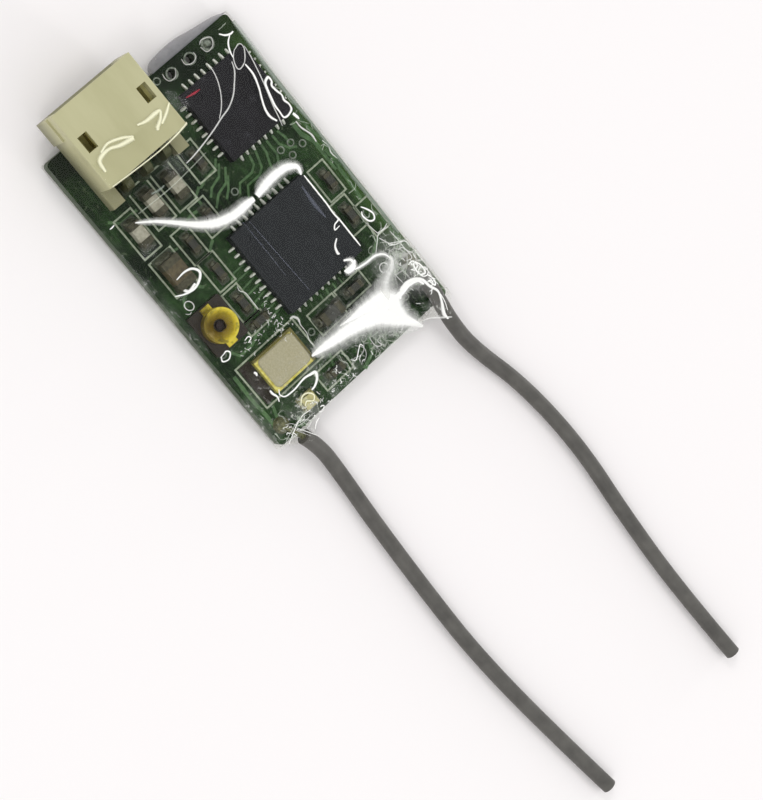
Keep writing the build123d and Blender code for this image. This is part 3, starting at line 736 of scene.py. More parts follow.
def makeEndJoints():
    feet, reach, width, height, plates = [], [], [], [], []
    scale, least, rise = joints["endReach"]
    padOut, padLong, padWide = joints["pad"]
    for node in chipParts:
        low, high = (np.array(corner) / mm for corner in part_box(node + "_ends"))
        middle, size = (low + high) / 2, high - low
        across = int(size[1] > size[0])
        for side in (1, -1):
            angle = np.pi / 2 * across + (0 if side > 0 else np.pi)
            x = middle[0] + (0 if across else side * size[0] / 2)
            y = middle[1] + (side * size[1] / 2 if across else 0)
            wide = size[1 - across]
            feet.append((x, y, angle))
            reach.append(scale * (least + rise * size[2]))
            width.append(wide * joints["endWidth"])
            height.append(size[2] * joints["endShare"])
            c, s = np.cos(angle), np.sin(angle)
            plates.append((x + padOut * c, y + padOut * s, padLong, wide + padWide, angle))
    points, faces = beads(np.array(feet), reach, width, height)
    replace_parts(addMesh("endJoints", points, faces, paint["endSolder"]), "chip_solder_joints")
    points, faces = slabs(plates, level + graphics["padHigh"])
    addMesh("endPads", points, faces, paint["endPad"], smooth=False)


makePackageJoints()
makeEndJoints()
print("solder made")


# shrink film
film = {
    "rounds": ((0.8, 200), (0.4, 200), (0.2, 200), (0.1, 160)),  # cell's side and rounds at each fineness
    "softenings": 6,
    "give": 0.01,  # how far softening may sink it into what it covers
    "start": -13.0,
    "end": 12.7,
    "half": 7.4,
    "front": -10.52,  # where its cut end lies beside the socket
    "underside": 0.03,
    "ground": 0.05,  # height of its foot beside the board
    "tuck": 0.02,  # how far the walls stand inside the half
    "bevel": 0.05,  # how much less the underside reaches
    "far": 11.66,
    "webs": ((6.1, 1.0), (-5.7, 0.9)),  # Y of each antenna's web and how wide it is
    "webOut": 0.8,
    "wireHalf": 0.5,
    "wireEnd": 13.5,  # no film lies on the antennas past this
    "rim": 1.17,  # height of the film where it turns down the board's long edges
    "board": (-10.475, 11.525, 7.25, 1.14),
    "clearance": 0.03,
    "floor": 0.35,
    "covers": ["controller_chip", "radio_chip", "crystal_lid", "test_socket_shell", *chipParts, "lamp_lens",
               "antenna_1_solder", "antenna_2_solder"],
    "socket": (-12.6, -7.275, -6.05, -0.05, 4.67),
    "wings": [(-7.3, -5.975, -6.05, -5.2, 2.22), (-7.3, -5.975, -0.9, -0.05, 2.22)],
}


def wireTop(x, y, route):
    # height of an antenna's upper side at each place, and zero where it doesn't pass
    line = smoothPath(route, 0.2)
    line = line[line[:, 0] < film["wireEnd"]]
    flat = np.hypot(x[..., None] - line[:, 0], y[..., None] - line[:, 1])
    near = flat.argmin(axis=-1)
    gap = np.take_along_axis(flat, near[..., None], axis=-1)[..., 0]
    half = film["wireHalf"]
    return np.where(gap < half, line[near, 2] + np.sqrt(np.maximum(half ** 2 - gap ** 2, 0)), 0)


def underFilm(x, y):
    # the highest thing under each place: board, chips, socket and wires
    start, end, half, top = film["board"]
    height = np.where((x > start) & (x < end) & (np.abs(y) < half), top, film["ground"])
    room = film["clearance"]
    boxes = [film["socket"]] + film["wings"]
    for node in film["covers"]:
        low, high = (np.array(c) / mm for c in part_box(node))
        boxes.append((low[0], high[0], low[1], high[1], high[2]))
    for x0, x1, y0, y1, z1 in boxes:
        inside = (x > x0 - room) & (x < x1 + room) & (y > y0 - room) & (y < y1 + room)
        height = np.where(inside, np.maximum(height, z1 + room), height)
    for node in ("antenna_1", "antenna_2"):
        height = np.maximum(height, wireTop(x, y, antennas[node]) + room)
    return height


def neighbours(z):
    # the mean of the four places beside each, the edge's own value past the edge
    wide = np.pad(z, 1, mode="edge")
    return (wide[2:, 1:-1] + wide[:-2, 1:-1] + wide[1:-1, 2:] + wide[1:-1, :-2]) / 4


def settle(cell, before, rounds):
    # film under tension: each point goes to the mean of its neighbours, but not below what
    # it covers; the long edges are held at the rim and the far end near the surface
    x = np.arange(film["start"], film["end"] + cell / 2, cell)
    y = np.linspace(-film["half"], film["half"], int(round(2 * film["half"] / cell)) + 1)
    gx, gy = np.meshgrid(x, y, indexing="ij")
    under = underFilm(gx, gy)
    z = under.copy() if before is None else np.maximum(sample(before, gx, gy), under)
    for i in range(rounds):
        z = np.maximum(0.2 * z + 0.8 * neighbours(z), under)
        z[:, 0] = z[:, -1] = film["rim"]
        z[-1, :] = np.maximum(film["floor"], under[-1, :])
    return (x, y, z), under


def sample(sheet, gx, gy):
    # height of a settled sheet between its grid's points, linear both ways
    x, y, z = sheet
    i = np.clip((gx - x[0]) / (x[1] - x[0]), 0, len(x) - 1.001)
    j = np.clip((gy - y[0]) / (y[1] - y[0]), 0, len(y) - 1.001)
    a, b = i.astype(int), j.astype(int)
    s, t = i - a, j - b
    return ((1 - s) * (1 - t) * z[a, b] + s * (1 - t) * z[a + 1, b]
            + (1 - s) * t * z[a, b + 1] + s * t * z[a + 1, b + 1])


def drape():
    # settled coarse to fine, then softened and lifted clear of sharp corners
    sheet = None
    for cell, rounds in film["rounds"]:
        sheet, under = settle(cell, sheet, rounds)
    x, y, z = sheet
    for i in range(film["softenings"]):
        z = np.maximum((neighbours(z) + z) / 2, under - film["give"])
    return x, y, z


sheet = drape()
print("film settled")


def smoothStep(value, low, high):
    t = np.clip((value - low) / (high - low), 0, 1)
    return t * t * (3 - 2 * t)


def frontEdge(y):
    # the cut edge: at the board's end, and drawn back over the socket's roof, by 1.52 at Y -6 and by
    # 0.07 more for each millimetre from there
    over = smoothStep(y, -6.35, -5.95) * smoothStep(-y, -0.1, 0.15)
    return film["front"] + over * (1.52 + 0.07 * (y + 6))


def farEdge(y):
    # just past the board, and further in a web round each antenna
    webGlints = sum(np.exp(-((y - middle) / wide) ** 2) for middle, wide in film["webs"])
    return film["far"] + film["webOut"] * np.clip(webGlints, 0, 1)


def makeFilm():
    # a closed sleeve: the draped top, a short wall down each side and a flat underside
    half, ground = film["half"] - film["tuck"], film["ground"]
    top = np.linspace(-half, half, 149)
    wall = np.linspace(1, 0, 6)[1:-1]
    under = np.linspace(half - film["bevel"], -half + film["bevel"], 24)
    u = np.linspace(0, 1, 252)[:, None]

    def across(y, front):
        x = front + u * (farEdge(y) - front)
        return x, np.broadcast_to(y, x.shape)

    x1, y1 = across(top[None], frontEdge(top[None]))
    z1 = sample(sheet, x1, y1)
    ySide = np.full(len(wall), half)[None]
    x2, y2 = across(ySide, frontEdge(ySide))
    z2 = ground + wall[None] * (z1[:, -1:] - ground)
    x3, y3 = across(under[None], np.full_like(under, film["front"])[None])
    z3 = np.full(x3.shape, film["underside"])
    x4, y4 = across(-ySide, frontEdge(-ySide))
    z4 = ground + wall[None, ::-1] * (z1[:, :1] - ground)
    points = np.stack([np.hstack(strips) for strips in ((x1, x2, x3, x4), (y1, y2, y3, y4), (z1, z2, z3, z4))],
                      axis=-1)
    made = addMesh("clingFilm", points.reshape(-1, 3), gridFaces(*points.shape[:2], closed=True), paint["film"])
    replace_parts(made, "shrink_sleeve")


makeFilm()

# lip of film left standing past the short end beside the socket, grey with painted shadow: X and Y along its
# outer edge
lip = {
    "edge": [(-10.55, 1.25), (-10.95, 1.5), (-11.15, 2.2), (-11.2, 3.7), (-10.98, 5.1), (-10.75, 6.6),
             (-10.52, 7.3)],
    "inner": -10.47,
    "levels": (1.16, 0.5),
    "rows": 6,
}


def makeLip(settings):
    edge = smoothPath([point + (0,) for point in settings["edge"]], 0.15)[:, :2]
    high, low = settings["levels"]
    rows = []
    # on the way out it sinks by the square of the way
    for t in np.linspace(0, 1, settings["rows"]):
        x = settings["inner"] + (edge[:, 0] - settings["inner"]) * t
        rows.append(np.column_stack([x, edge[:, 1], np.full(len(edge), high + (low - high) * t ** 2)]))
    addMesh("filmLip", np.vstack(rows), gridFaces(len(rows), len(edge)), paint["lip"])


makeLip(lip)

# folds that shrinking left in the film, their bright veils painted glare, by kind: places in X and Y, in
# millimetres
ridge = {
    "slope": 0.5,  # at the steepest of its sides
    "shallow": 0.1,  # the same where it lies on the board or a chip
    "highest": 0.1,
    "thinnest": 0.03,
    "lift": 0.012,  # over what it lies on
    "step": 0.07,  # between the places where it is worked out
    "ends": 0.6,  # a thin fold's width at its ends as a share of its full width
}
# broad ones: X, Y and the width there
streaks = {
    "fold": {
        "sweepUpper": [(-0.25, 4.25, 0.17), (-0.4, 4.35, 0.36), (-0.75, 4.4, 0.58), (-1, 4.15, 0.74),
            (-1.2, 3.75, 0.88), (-1.3, 3.05, 0.97), (-1.3, 2.35, 1.02), (-1.2, 1.65, 0.92), (-1.1, 1.15, 0.66)],
        "sweepLower": [(-1.1, 0.9, 0.53), (-1.15, 0.25, 0.92), (-1.15, -0.6, 1.02), (-1.3, -1.3, 1.02),
            (-1.55, -1.95, 0.97), (-1.9, -2.5, 0.84), (-2.35, -3.05, 0.66), (-2.85, -3.55, 0.53),
            (-3.35, -4.05, 0.43), (-3.95, -4.7, 0.31), (-4.4, -5.3, 0.2), (-4.65, -5.65, 0.1)],
        "radioDash": [(4.1, 3.5, 0.13), (4.4, 3.1, 0.21), (4.85, 2.95, 0.29), (4.9, 3.05, 0.13)],
        "radioPatch": [(5.4, 2.95, 0.18), (5.7, 3.35, 0.31), (6.15, 3.25, 0.39), (6.15, 2.75, 0.39),
            (5.9, 2.6, 0.18)],
        "topLoop": [(-7.45, 5.85, 0.16), (-6.7, 5.85, 0.24), (-5.9, 5.6, 0.21), (-5.3, 5.3, 0.21),
            (-4.7, 5.05, 0.24), (-4.15, 5, 0.26), (-3.65, 5.2, 0.18)],
        "topBlob": [(-5.95, 6.3, 0.29), (-5.95, 6.55, 0.31), (-5.65, 6.55, 0.26), (-5.45, 6.35, 0.24),
            (-5, 6.4, 0.24), (-4.65, 6.5, 0.21), (-4.3, 6.4, 0.24), (-3.95, 6.5, 0.21), (-3.6, 6.4, 0.24),
            (-3.45, 6, 0.21), (-3.55, 5.7, 0.21), (-4, 5.7, 0.18), (-4.45, 5.7, 0.24), (-4.85, 5.8, 0.24),
            (-5.4, 5.95, 0.26), (-5.8, 6.1, 0.29), (-5.95, 6.3, 0.29)],
        "streakMain": [(8.5, -2.35, 0.2), (8.55, -1.8, 0.7), (8.65, -1.05, 1.1), (8.75, -0.35, 1.3),
            (8.85, 0.35, 1.5), (9, 1.05, 1.75), (9.2, 1.75, 2), (9.45, 2.45, 2.3), (9.9, 3, 2.2),
            (10.45, 3.45, 1.8), (10.95, 3.85, 1.3), (11.5, 4.25, 0.8), (12.1, 4.65, 0.2)],
        "streakUp": [(9.55, 2.5, 1.5), (9.4, 3.2, 1.3), (9.4, 4.05, 0.95), (9.4, 4.8, 0.55), (9.35, 5.35, 0.4),
            (9.5, 5.9, 0.33), (9.9, 6.05, 0.22)],
        "crystalCurl": [(8.65, -5.25, 0.1), (8.95, -5.4, 0.13), (9.25, -5.2, 0.16), (9.3, -4.5, 0.18),
            (9.2, -3.65, 0.21), (9.3, -3.1, 0.29), (9.4, -2.8, 0.34), (9.75, -2.95, 0.29), (10, -3.35, 0.24),
            (10.05, -3.7, 0.16)],
        "bulkHook": [(-0.5, -5.9, 0.11), (-0.55, -5.25, 0.2), (-0.4, -4.75, 0.25), (0, -4.5, 0.28),
            (0.35, -4.75, 0.28), (0.6, -5.35, 0.25), (0.5, -6, 0.2), (0.25, -6.5, 0.11)],
        "windowArch": [(9.65, 4.35, 0.39), (9.25, 4.85, 0.44), (9.2, 5.55, 0.44), (9.55, 6.1, 0.34),
            (10.25, 6.25, 0.29), (10.8, 6.45, 0.26), (11.35, 6.25, 0.26), (12.1, 5.85, 0.34),
            (12.55, 5.85, 0.16)],
        "bulkLeft": [(-0.05, -6, 0.26), (0.5, -5.75, 0.29), (0.4, -5.15, 0.24)],
        "gleam1": [(-3.35, 6.35, 0.26), (-3, 6.5, 0.34), (-2.8, 6.55, 0.13)],
        "streakCore": [(8.3, 0.2, 0.1), (8.45, 1.05, 0.55), (8.55, 1.95, 1.25), (8.75, 2.65, 1.8),
            (8.9, 3.4, 2.12), (9.4, 3.8, 2.29), (10.1, 3.8, 1.64), (10.8, 3.9, 1.15), (11.45, 4.3, 0.49)],
        "arcGlow": [(6.3, 3.15, 0.1), (6.4, 3.55, 0.22), (6.5, 4.15, 0.23), (6.55, 4.75, 0.26),
            (6.75, 5.2, 0.23), (7.05, 5.45, 0.18), (7.5, 5.5, 0.18), (7.75, 5.1, 0.15)],
        "patchCore": [(5.95, 2.65, 0.21), (6.05, 2.95, 0.58), (6, 3.3, 0.52), (5.85, 3.55, 0.18)],
        "darkSpot1": [(6.85, -5.75, 0.18), (7, -5.7, 0.26), (7.15, -5.75, 0.13)],
        "darkSpot2": [(8.35, -5.7, 0.16), (8.6, -5.7, 0.24), (8.95, -5.6, 0.18), (9.25, -5.7, 0.1)],
    },
    "faintFold": {
        "rootWeb": [(11.75, 4.75, 0.08), (11.9, 5.2, 0.18), (12.3, 5.7, 0.26), (12.6, 6.1, 0.13)],
        "sideCurl": [(-2.85, 6.25, 0.13), (-2.35, 6.3, 0.21), (-1.85, 6.5, 0.21), (-1.5, 6.6, 0.26),
            (-1.05, 6.55, 0.16)],
    },
    "soft": {
        "streakArm": [(9.2, 3.7, 1.65), (8.55, 4, 1.09), (8.1, 4.5, 0.81), (7.85, 5.1, 0.66), (7.55, 5.5, 0.48),
            (7.2, 5.6, 0.25)],
        "chipCorner": [(5.85, -2, 0.21), (5.9, -1.75, 0.31), (6.2, -1.6, 0.31), (6.6, -1.7, 0.13),
            (7.2, -1.7, 0.1), (7.65, -1.85, 0.13), (8.05, -1.85, 0.1)],
    },
    "cream": {
        "roofStroke": [(-8.2, -5.65, 0.27), (-8.85, -5.55, 0.43), (-9.05, -5.15, 0.46), (-9.05, -4.6, 0.32),
            (-8.8, -3.95, 0.43), (-8.65, -3.1, 0.51)],
        "roofDash": [(-8.2, -1.25, 0.27), (-8.5, -0.65, 0.32), (-8.85, -0.1, 0.2)],
        "roofLoop": [(-9.05, -2.45, 0.2), (-8.9, -1.85, 0.36), (-8.9, -1.2, 0.43), (-8.85, -0.85, 0.32),
            (-8.5, -1.1, 0.32), (-8.2, -1.6, 0.43), (-8.05, -1.65, 0.24)],
        "roofReturn": [(-9.2, -5.15, 0.24), (-9.35, -4.5, 0.27), (-9.1, -3.7, 0.32), (-8.7, -3.05, 0.27)],
        "roofRear": [(-7.3, -5.9, 0.18), (-7.2, -4.5, 0.16), (-7.1, -2.55, 0.13), (-7.15, -1.1, 0.18),
            (-7.3, 0, 0.29)],
    },
    "hair": {
        "sheen": [(0.3, 3.85, 0.13), (1.35, 3.75, 0.39), (2.05, 3.75, 0.34), (2.7, 3.8, 0.13)],
    },
    "band": {
        "edgeBand": [(-9.8, 7.25, 0.52), (-7.95, 7.15, 0.78), (-6.4, 7, 0.78), (-4.95, 6.95, 0.78),
            (-3.6, 7, 0.65), (-2.3, 7.1, 0.39)],
        "capGlint1": [(-5.4, -4.05, 0.21), (-5.3, -3.55, 0.29), (-5.3, -3.15, 0.16)],
        "edgeBand2": [(-2.3, 7.1, 0.35), (0, 7.1, 0.4), (2.5, 7.05, 0.5), (5, 7.1, 0.5), (6.6, 7.1, 0.35)],
    },
    "red": {
        "redGlint": [(-8.2, 1.7, 0.1), (-8.1, 2.25, 0.29), (-8.05, 2.7, 0.1)],
    },
}
# thin ones: the width, then X and Y
lines = {
    "fold": {
        "radioEdge": (0.18, [(-0.1, 4.4), (0.4, 4.4), (1.35, 4.4), (2.05, 4.4), (2.65, 4.35), (3, 4.35),
            (3.45, 4.4), (4.2, 4.4), (5.05, 4.4), (5.45, 4.4)]),
        "radioCurl": (0.16, [(2.9, 4.35), (3.3, 4.35), (3.4, 3.95), (3.65, 3.75), (3.65, 4.15)]),
        "cornerWeb": (0.21, [(-9.8, 5.8), (-9.5, 6.1), (-9.35, 6.45), (-9.35, 6.75)]),
        "cornerTail": (0.18, [(-9.35, 6.4), (-9.05, 5.9), (-8.6, 5.6), (-8.2, 5.5)]),
        "farHook": (0.11, [(10.35, 0.7), (10.1, 0.6), (10.3, 0.3), (10.65, -0.2), (10.4, -0.5)]),
        "topRidge": (0.2, [(8.4, 6.55), (8.95, 6.75), (9.4, 6.55), (9.25, 6.25), (8.7, 6.35), (8.5, 6.55)]),
        "topCrest": (0.2, [(9.6, 6.6), (10.1, 6.75), (10.4, 6.55), (9.95, 6.4)]),
        "topLine": (0.11, [(9.95, 6.15), (10.65, 6.45), (11.45, 6.4), (12.1, 6.15)]),
        "padGlint": (0.2, [(3.75, 6.15), (4.15, 6.4), (4.6, 6.55), (4.9, 6.35), (4.75, 6), (4.25, 5.85),
            (4, 6)]),
        "exitLoop": (0.16, [(8.4, 6.15), (8.4, 6.5), (8.75, 6.6), (8.9, 6.25), (8.7, 6.05)]),
        "innerDash1": (0.08, [(9.6, 5.3), (9.8, 5.35)]),
        "innerDash2": (0.08, [(10.55, 5), (10.75, 5.2)]),
        "belowTest1": (0.16, [(4.8, -6.8), (4.65, -6.4), (4.9, -6.2), (5.2, -6.45), (5.1, -6.8), (4.8, -6.75)]),
        "belowTest2": (0.13, [(4.95, -5.05), (4.9, -4.75), (5.1, -4.65), (5.2, -4.95)]),
        "cornerFrill2": (0.13, [(11.25, -3.9), (11.4, -3.6), (11.6, -3.9), (11.45, -4.1)]),
        "leftGlint": (0.16, [(-5.25, -6.9), (-5.25, -6.75), (-5.3, -6.6)]),
        "cornerLine1": (0.1, [(11.65, -6.85), (11.25, -6.25), (10.95, -5.6), (10.85, -5.05), (10.9, -4.55)]),
        "cornerLine2": (0.08, [(11.2, -5.9), (11.75, -5.6), (12.25, -5.3), (12.6, -5.1)]),
        "cornerLine4": (0.18, [(12.1, -5), (11.85, -4.6), (11.8, -4.3)]),
    },
    "faintFold": {
        "edgeArc": (0.18, [(-8.1, 5.25), (-7.6, 5), (-7.05, 4.45), (-6.55, 3.85), (-6.2, 3.1), (-6.05, 2.3),
            (-5.85, 1.45), (-5.65, 0.35), (-5.5, -0.65), (-5.45, -1.3)]),
        "crossArc": (0.14, [(-8.95, 3.8), (-8.4, 3.8), (-7.75, 3.6), (-7.05, 3.2), (-6.5, 2.7), (-6.1, 2.15)]),
        "leftLoop": (0.14, [(-8.55, 5.95), (-8.2, 5.5), (-7.7, 5.25), (-7.45, 5.35), (-7.55, 5.85),
            (-7.9, 6.25), (-8.3, 6.5), (-8.6, 6.4), (-8.5, 5.9)]),
        "farDrop": (0.11, [(11.3, -0.7), (11.4, -1.35)]),
        "farTail": (0.06, [(10.75, -4.7), (10.95, -5.8), (11.25, -6.65), (11.5, -7)]),
        "farLine": (0.06, [(10.65, -6.25), (11.45, -5.95), (12.1, -5.6)]),
        "edgeGlint": (0.21, [(8.25, 6.45), (8.9, 6.6), (9.4, 6.8), (10, 6.7), (10.55, 6.8)]),
        "polyLine": (0.13, [(6.5, 4.95), (6.05, 5.5), (5.75, 5.95), (5.85, 6.8)]),
        "polyLine2": (0.12, [(4.7, 5.75), (5.35, 5.85), (5.75, 5.95)]),
        "polyLine3": (0.16, [(5.95, 5.8), (6.85, 6.25), (7.2, 7.05), (7.7, 7.1)]),
        "cornerHash": (0.13, [(7.3, 6.3), (7.45, 6.65), (8.2, 6.65), (8.15, 6.2)]),
        "cornerFrill3": (0.1, [(10.95, -5.95), (11.15, -5.2), (11.55, -4.95), (11.65, -5.5)]),
        "topLine2": (0.14, [(-8.3, 6.6), (-7.7, 6.5), (-6.85, 6.3), (-6.1, 6.1), (-5.3, 5.85), (-4.5, 5.6),
            (-3.8, 5.45), (-3.2, 5.3)]),
        "sideCurl2": (0.16, [(-0.85, 6.95), (-0.35, 7.05), (0.1, 6.9), (0.6, 7)]),
        "exitVein1": (0.09, [(8.15, 5.1), (8.6, 5.1), (9.05, 5.15)]),
        "hashRight": (0.16, [(5.65, 5.9), (5.75, 6.45), (5.65, 6.9)]),
        "hashRight2": (0.13, [(6.6, 6.05), (6.9, 6.55), (7.2, 7.05), (7.5, 7.15)]),
        "hashRight3": (0.13, [(6.15, 6.7), (6.8, 6.75), (7.6, 6.7), (8.1, 6.9)]),
        "lowWeb1": (0.07, [(10.1, 0.9), (10.5, 0.6), (10.65, 0.2), (10.5, -0.25), (10.7, -0.65)]),
        "lowWeb2": (0.1, [(10.1, 1.35), (10.85, 1.35), (11.1, 1.7), (10.7, 1.65), (10.65, 2)]),
        "lowWeb3": (0.07, [(9.9, 0.25), (10.4, 0.65), (10.85, 0.55), (11.15, 0.15)]),
        "cornerLine3": (0.07, [(10.55, -6.35), (10.75, -6), (11.15, -5.7), (11.2, -5.15), (11.25, -4.4)]),
        "partWeb1": (0.1, [(2.2, -3.3), (2.5, -3.35), (2.85, -3.15), (3.45, -3.15), (4.1, -3.15)]),
        "edgeScrap": (0.1, [(1.45, -6.7), (1.6, -6.55), (1.55, -6.4)]),
    },
    "wisp": {
        "crossLine": (0.13, [(-4.95, -5.25), (-4.95, -4.25), (-4.95, -2.75), (-5.05, -1.2), (-5.15, 0.1)]),
    },
    "cream": {
        "ledMark": (0.18, [(10.3, -4.85), (9.95, -4.45), (10, -4.05), (10.35, -3.8), (10.6, -4.05),
            (10.35, -4.4), (10.5, -4.65)]),
    },
    "hair": {
        "hair1": (0.09, [(-0.3, -0.2), (2.35, -0.05), (5.35, 0.1)]),
        "hair2": (0.08, [(-0.5, -0.55), (1.25, -0.5), (3.7, -0.5)]),
    },
    "rim": {
        "holeRim1": (0.12, [(-10.05, 3.25), (-9.65, 3.25), (-9.45, 3.65), (-9.6, 4.05), (-9.9, 4.1)]),
        "holeRim2": (0.12, [(-10, 4.7), (-10.15, 5), (-9.9, 5.55), (-9.45, 5.3), (-9.4, 4.8), (-9.85, 4.65)]),
        "holeRim3": (0.12, [(-10.1, 1.75), (-9.8, 1.7), (-9.5, 1.85), (-9.5, 2.3), (-9.9, 2.6)]),
    },
}
# round ones: the middle X and Y, the reach each way and the width
rings = {
    "fold": {
        "exitRing2": (9.3, 6.55, 0.3, 0.3, 0.14),
        "exitRing3": (10.1, 6.4, 0.18, 0.18, 0.13),
    },
    "faintFold": {
        "exitRing4": (7.5, 4.8, 0.3, 0.3, 0.13),
        "leftRing": (1.2, -6.25, 0.3, 0.24, 0.12),
    },
}


def lineRoute(width, places):
    # full width between its ends
    last = len(places) - 1
    return [(x, y, width * (1 if 0 < i < last else ridge["ends"])) for i, (x, y) in enumerate(places)]


def ringRoute(x, y, wide, high, width):
    return [(x + wide * np.cos(turn), y + high * np.sin(turn), width) for turn in np.linspace(0, 2 * np.pi, 9)]


def foldsOf(kind):
    return (list(streaks.get(kind, {}).values()) + [lineRoute(*line) for line in lines.get(kind, {}).values()]
            + [ringRoute(*ring) for ring in rings.get(kind, {}).values()])


def headings(path):
    # the way that a path runs at each of its places, as a unit vector
    ahead = np.gradient(path[:, :2], axis=0)
    return ahead / np.linalg.norm(ahead, axis=1, keepdims=True)


def makeFolds(routes, piece, material, slope=ridge["slope"], base=None):
    # each fold is a low ridge: its height across is (1 - t squared) squared, with t from -1 to 1,
    # on the film's own height or a given base; its crest rises in proportion to its width up
    # to the highest, and 1.54 is how steep that curve gets for a crest and a half width of 1
    points, faces, maps, count = [], [], [], 0
    steepest = 1.54
    t = np.linspace(-1, 1, 9)
    for route in routes:
        path = smoothPath(route, ridge["step"])
        ahead = headings(path)
        side = np.stack([-ahead[:, 1], ahead[:, 0]], axis=-1)
        half = np.maximum(path[:, 2], ridge["thinnest"])[:, None] / 2
        flat = path[:, None, :2] + side[:, None] * (half * t)[..., None]
        crest = np.minimum(half * slope / steepest, ridge["highest"]) * (1 - t ** 2) ** 2
        z = (sample(sheet, flat[..., 0], flat[..., 1]) if base is None else base) + ridge["lift"] + crest
        points.append(np.concatenate([flat, z[..., None]], axis=-1).reshape(-1, 3))
        along = np.broadcast_to(np.arange(len(path))[:, None] * ridge["step"], z.shape)
        maps.append(np.stack([along, np.broadcast_to(t / 2 + 0.5, z.shape)], axis=-1).reshape(-1, 2))
        faces.append(gridFaces(len(path), len(t))[:, ::-1] + count)
        count += z.size
    addMesh(piece, np.vstack(points), np.vstack(faces), paint[material], across=np.vstack(maps))


# painted glare: each kind is drawn with its bright veil
makeFolds(foldsOf("fold"), "filmFolds", "fold")
for kind in ("faintFold", "wisp", "soft", "cream", "hair", "band"):
    makeFolds(foldsOf(kind), kind + "Folds", kind)
makeFolds(foldsOf("rim"), "rimGlints", "faintFold", ridge["shallow"], level + 0.02)
makeFolds(foldsOf("red"), "redGlint", "red", ridge["shallow"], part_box("controller_chip")[1][2] / mm)

# a glow beside the broadest streaks: their width times widen, and the millimetres given for each
glow = {
    "widen": 1.5,
    "slope": 0.05,
    "more": {"sweepUpper": 0.3, "sweepLower": 0.3, "streakMain": 0.9, "streakCore": 0.45, "streakUp": 0.3,
             "streakArm": 0.8, "arcGlow": 0.3, "radioPatch": 0.3, "patchCore": 0.3},
}
broad = {**streaks["fold"], **streaks["soft"]}


def makeGlows(settings):
    # each glow comes down to the streak's own width at both ends
    routes = []
    for name, more in settings["more"].items():
        first, *between, last = broad[name]
        routes.append([first] + [(x, y, width * settings["widen"] + more) for x, y, width in between] + [last])
    return routes


makeFolds(makeGlows(glow), "foldGlows", "glow", glow["slope"])

# fine hairs of painted glare that stand out of both edges of the broad streaks
fringe = {
    "seed": 3,
    "from": ("streakMain", "streakCore", "streakUp", "streakArm"),
    "each": 0.8,  # hairs at every sampled place
    "ends": 6,  # sampled places left bare at each end
    "lean": 0.3,
    "bend": 0.03,
    "root": (0.25, 0.12),  # where it starts and leaves the streak, as shares of the streak's width
    "reach": (0.05, 0.4),
    "width": (0.08, 0.065, 0.04),
}


def makeFringe(settings):
    # each hair starts inside the streak and runs out square to it, leaning a little
    rng = np.random.default_rng(settings["seed"])
    inner, outer = settings["root"]
    bare = settings["ends"]
    routes = []
    for name in settings["from"]:
        path = smoothPath(broad[name], ridge["step"])
        ahead = headings(path)
        for i in rng.integers(bare, len(path) - bare, int(len(path) * settings["each"])):
            side = np.array([-ahead[i, 1], ahead[i, 0]]) * rng.choice((-1, 1))
            out = side + ahead[i] * rng.normal(0, settings["lean"])
            start = path[i, :2] + out * path[i, 2] * inner
            tip = start + out * (path[i, 2] * outer + rng.uniform(*settings["reach"]))
            middle = (start + tip) / 2 + rng.normal(0, settings["bend"], 2)
            routes.append([(*place, width) for place, width in zip((start, middle, tip), settings["width"])])
    return routes


makeFolds(makeFringe(fringe), "streakFringe", "wisp")

# small crinkles with painted glints on them: each about one of its middles, given by X, Y and the spread each
# way
crinkles = {
    "bright": {"seed": 7, "count": 64, "length": (0.1, 0.4), "width": (0.05, 0.1),
               "middles": [(9.2, 6.3, 1.2, 0.5), (10.9, -0.2, 0.4, 1.8), (11.2, -5, 0.4, 0.9),
                           (9.6, 6.4, 1, 0.4)]},
    "faint": {"seed": 8, "count": 150, "length": (0.3, 1.1), "width": (0.07, 0.14),
              "middles": [(7.4, 6.2, 1.1, 0.7), (10.6, -0.5, 0.6, 2.4), (-1, 6.75, 5.5, 0.3),
                          (7.8, 6.4, 1.2, 0.5), (10.8, 2.2, 0.4, 0.8), (11, -5.5, 0.5, 0.8)]},
    "fine": {"seed": 9, "count": 64, "length": (0.08, 0.3), "width": (0.05, 0.09),
             "middles": [(4.9, -2.6, 0.9, 0.25), (5.5, -4.6, 0.3, 0.7), (5.9, -2.9, 0.3, 0.5)]},
    "slope": 0.8,
    "wander": 0.7,  # radians of turn between its steps
    "shake": 0.02,
    "within": ((-10, -7.1), (11.5, 7.1)),
}


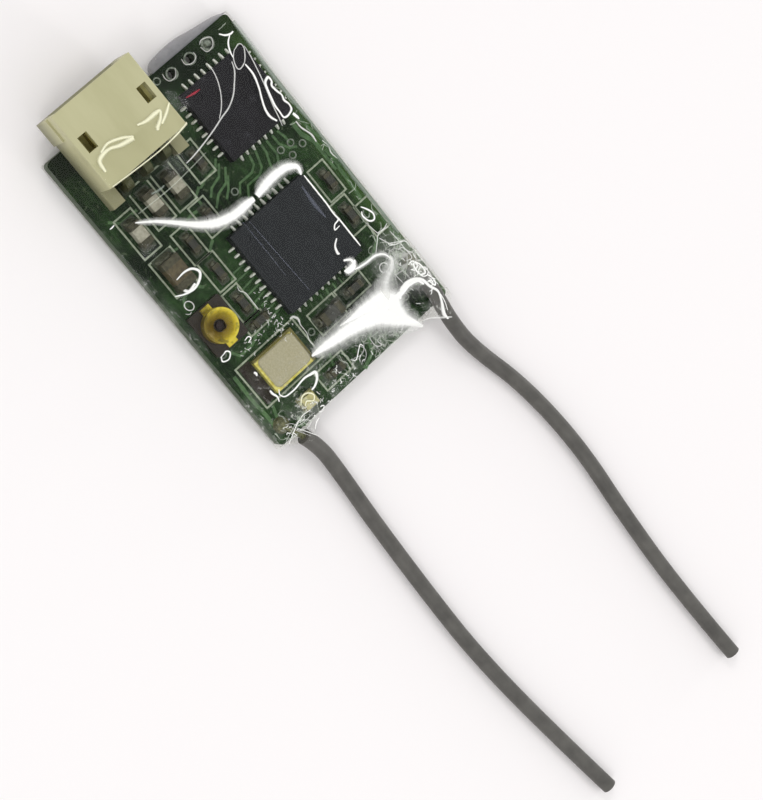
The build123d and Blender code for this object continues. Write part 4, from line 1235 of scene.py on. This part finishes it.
def makeCrinkles(settings):
    # each crinkle is a short wandering line of four points
    rng = np.random.default_rng(settings["seed"])
    routes = []
    for i in range(settings["count"]):
        x, y, wide, high = settings["middles"][i % len(settings["middles"])]
        start = np.array([x, y]) + rng.normal(0, 1, 2) * (wide, high)
        turn = rng.uniform(0, 2 * np.pi) + np.cumsum(rng.normal(0, crinkles["wander"], 3))
        steps = rng.uniform(*settings["length"]) / 3 * np.stack([np.cos(turn), np.sin(turn)], axis=-1)
        line = np.vstack([start, start + np.cumsum(steps, axis=0)])
        line = np.clip(line, *crinkles["within"]) + rng.normal(0, crinkles["shake"], line.shape)
        routes.append([(a, b, rng.uniform(*settings["width"])) for a, b in line])
    return routes


for name, kind in (("bright", "fold"), ("faint", "wisp"), ("fine", "faintFold")):
    makeFolds(makeCrinkles(crinkles[name]), name + "Crinkles", kind, crinkles["slope"])
print("film made")


# floor and light
studio = {
    "floor": (tone(250, 246, 246), tone(252, 249, 249)),
    "half": 400,
    "height": -0.02,
    "world": 0.82,
    "lamps": {
        "lampRight": ((0.82, 0.27, 0.5), 0.07, 0.1),
        "lampLeft": ((-0.64, 0.27, 0.72), 0.07, 0.1),
        "lampBack": ((0.14, 0.98, 0.12), 0.07, 0.1),
        "lampFront": ((0.14, -0.553, 0.822), 0.07, 0.1),
    },
    "distance": 0.32,
}


def makeStudio(settings):
    # a plain pale floor, a soft sky and lamps that face the part
    points = [(x, y, settings["height"]) for x, y in corner * 2 * settings["half"]]
    f = Finish("paleFloor")
    material = f.surface(f.blend(f.noise(0.02, 2), *settings["floor"]), 0.9)
    floor = addMesh("floor", points, np.array([[0, 1, 2, 3]]), material, smooth=False)
    world = bpy.data.worlds.new("sky")
    world.use_nodes = True
    sky = world.node_tree.nodes["Background"]
    sky.inputs[0].default_value = (1, 1, 1, 1)
    sky.inputs[1].default_value = settings["world"]
    bpy.context.scene.world = world
    for name, (toward, size, power) in settings["lamps"].items():
        data = bpy.data.lights.new(name, "AREA")
        data.energy = power
        data.size = size
        lamp = bpy.data.objects.new(name, data)
        place = Vector(toward).normalized() * settings["distance"]
        lamp.matrix_world = Matrix.Translation(place) @ place.to_track_quat("Z", "Y").to_matrix().to_4x4()
        bpy.context.collection.objects.link(lamp)
    bpy.context.scene.view_settings.view_transform = "Standard"


makeStudio(studio)
print("studio made")

bpy.context.view_layer.update()
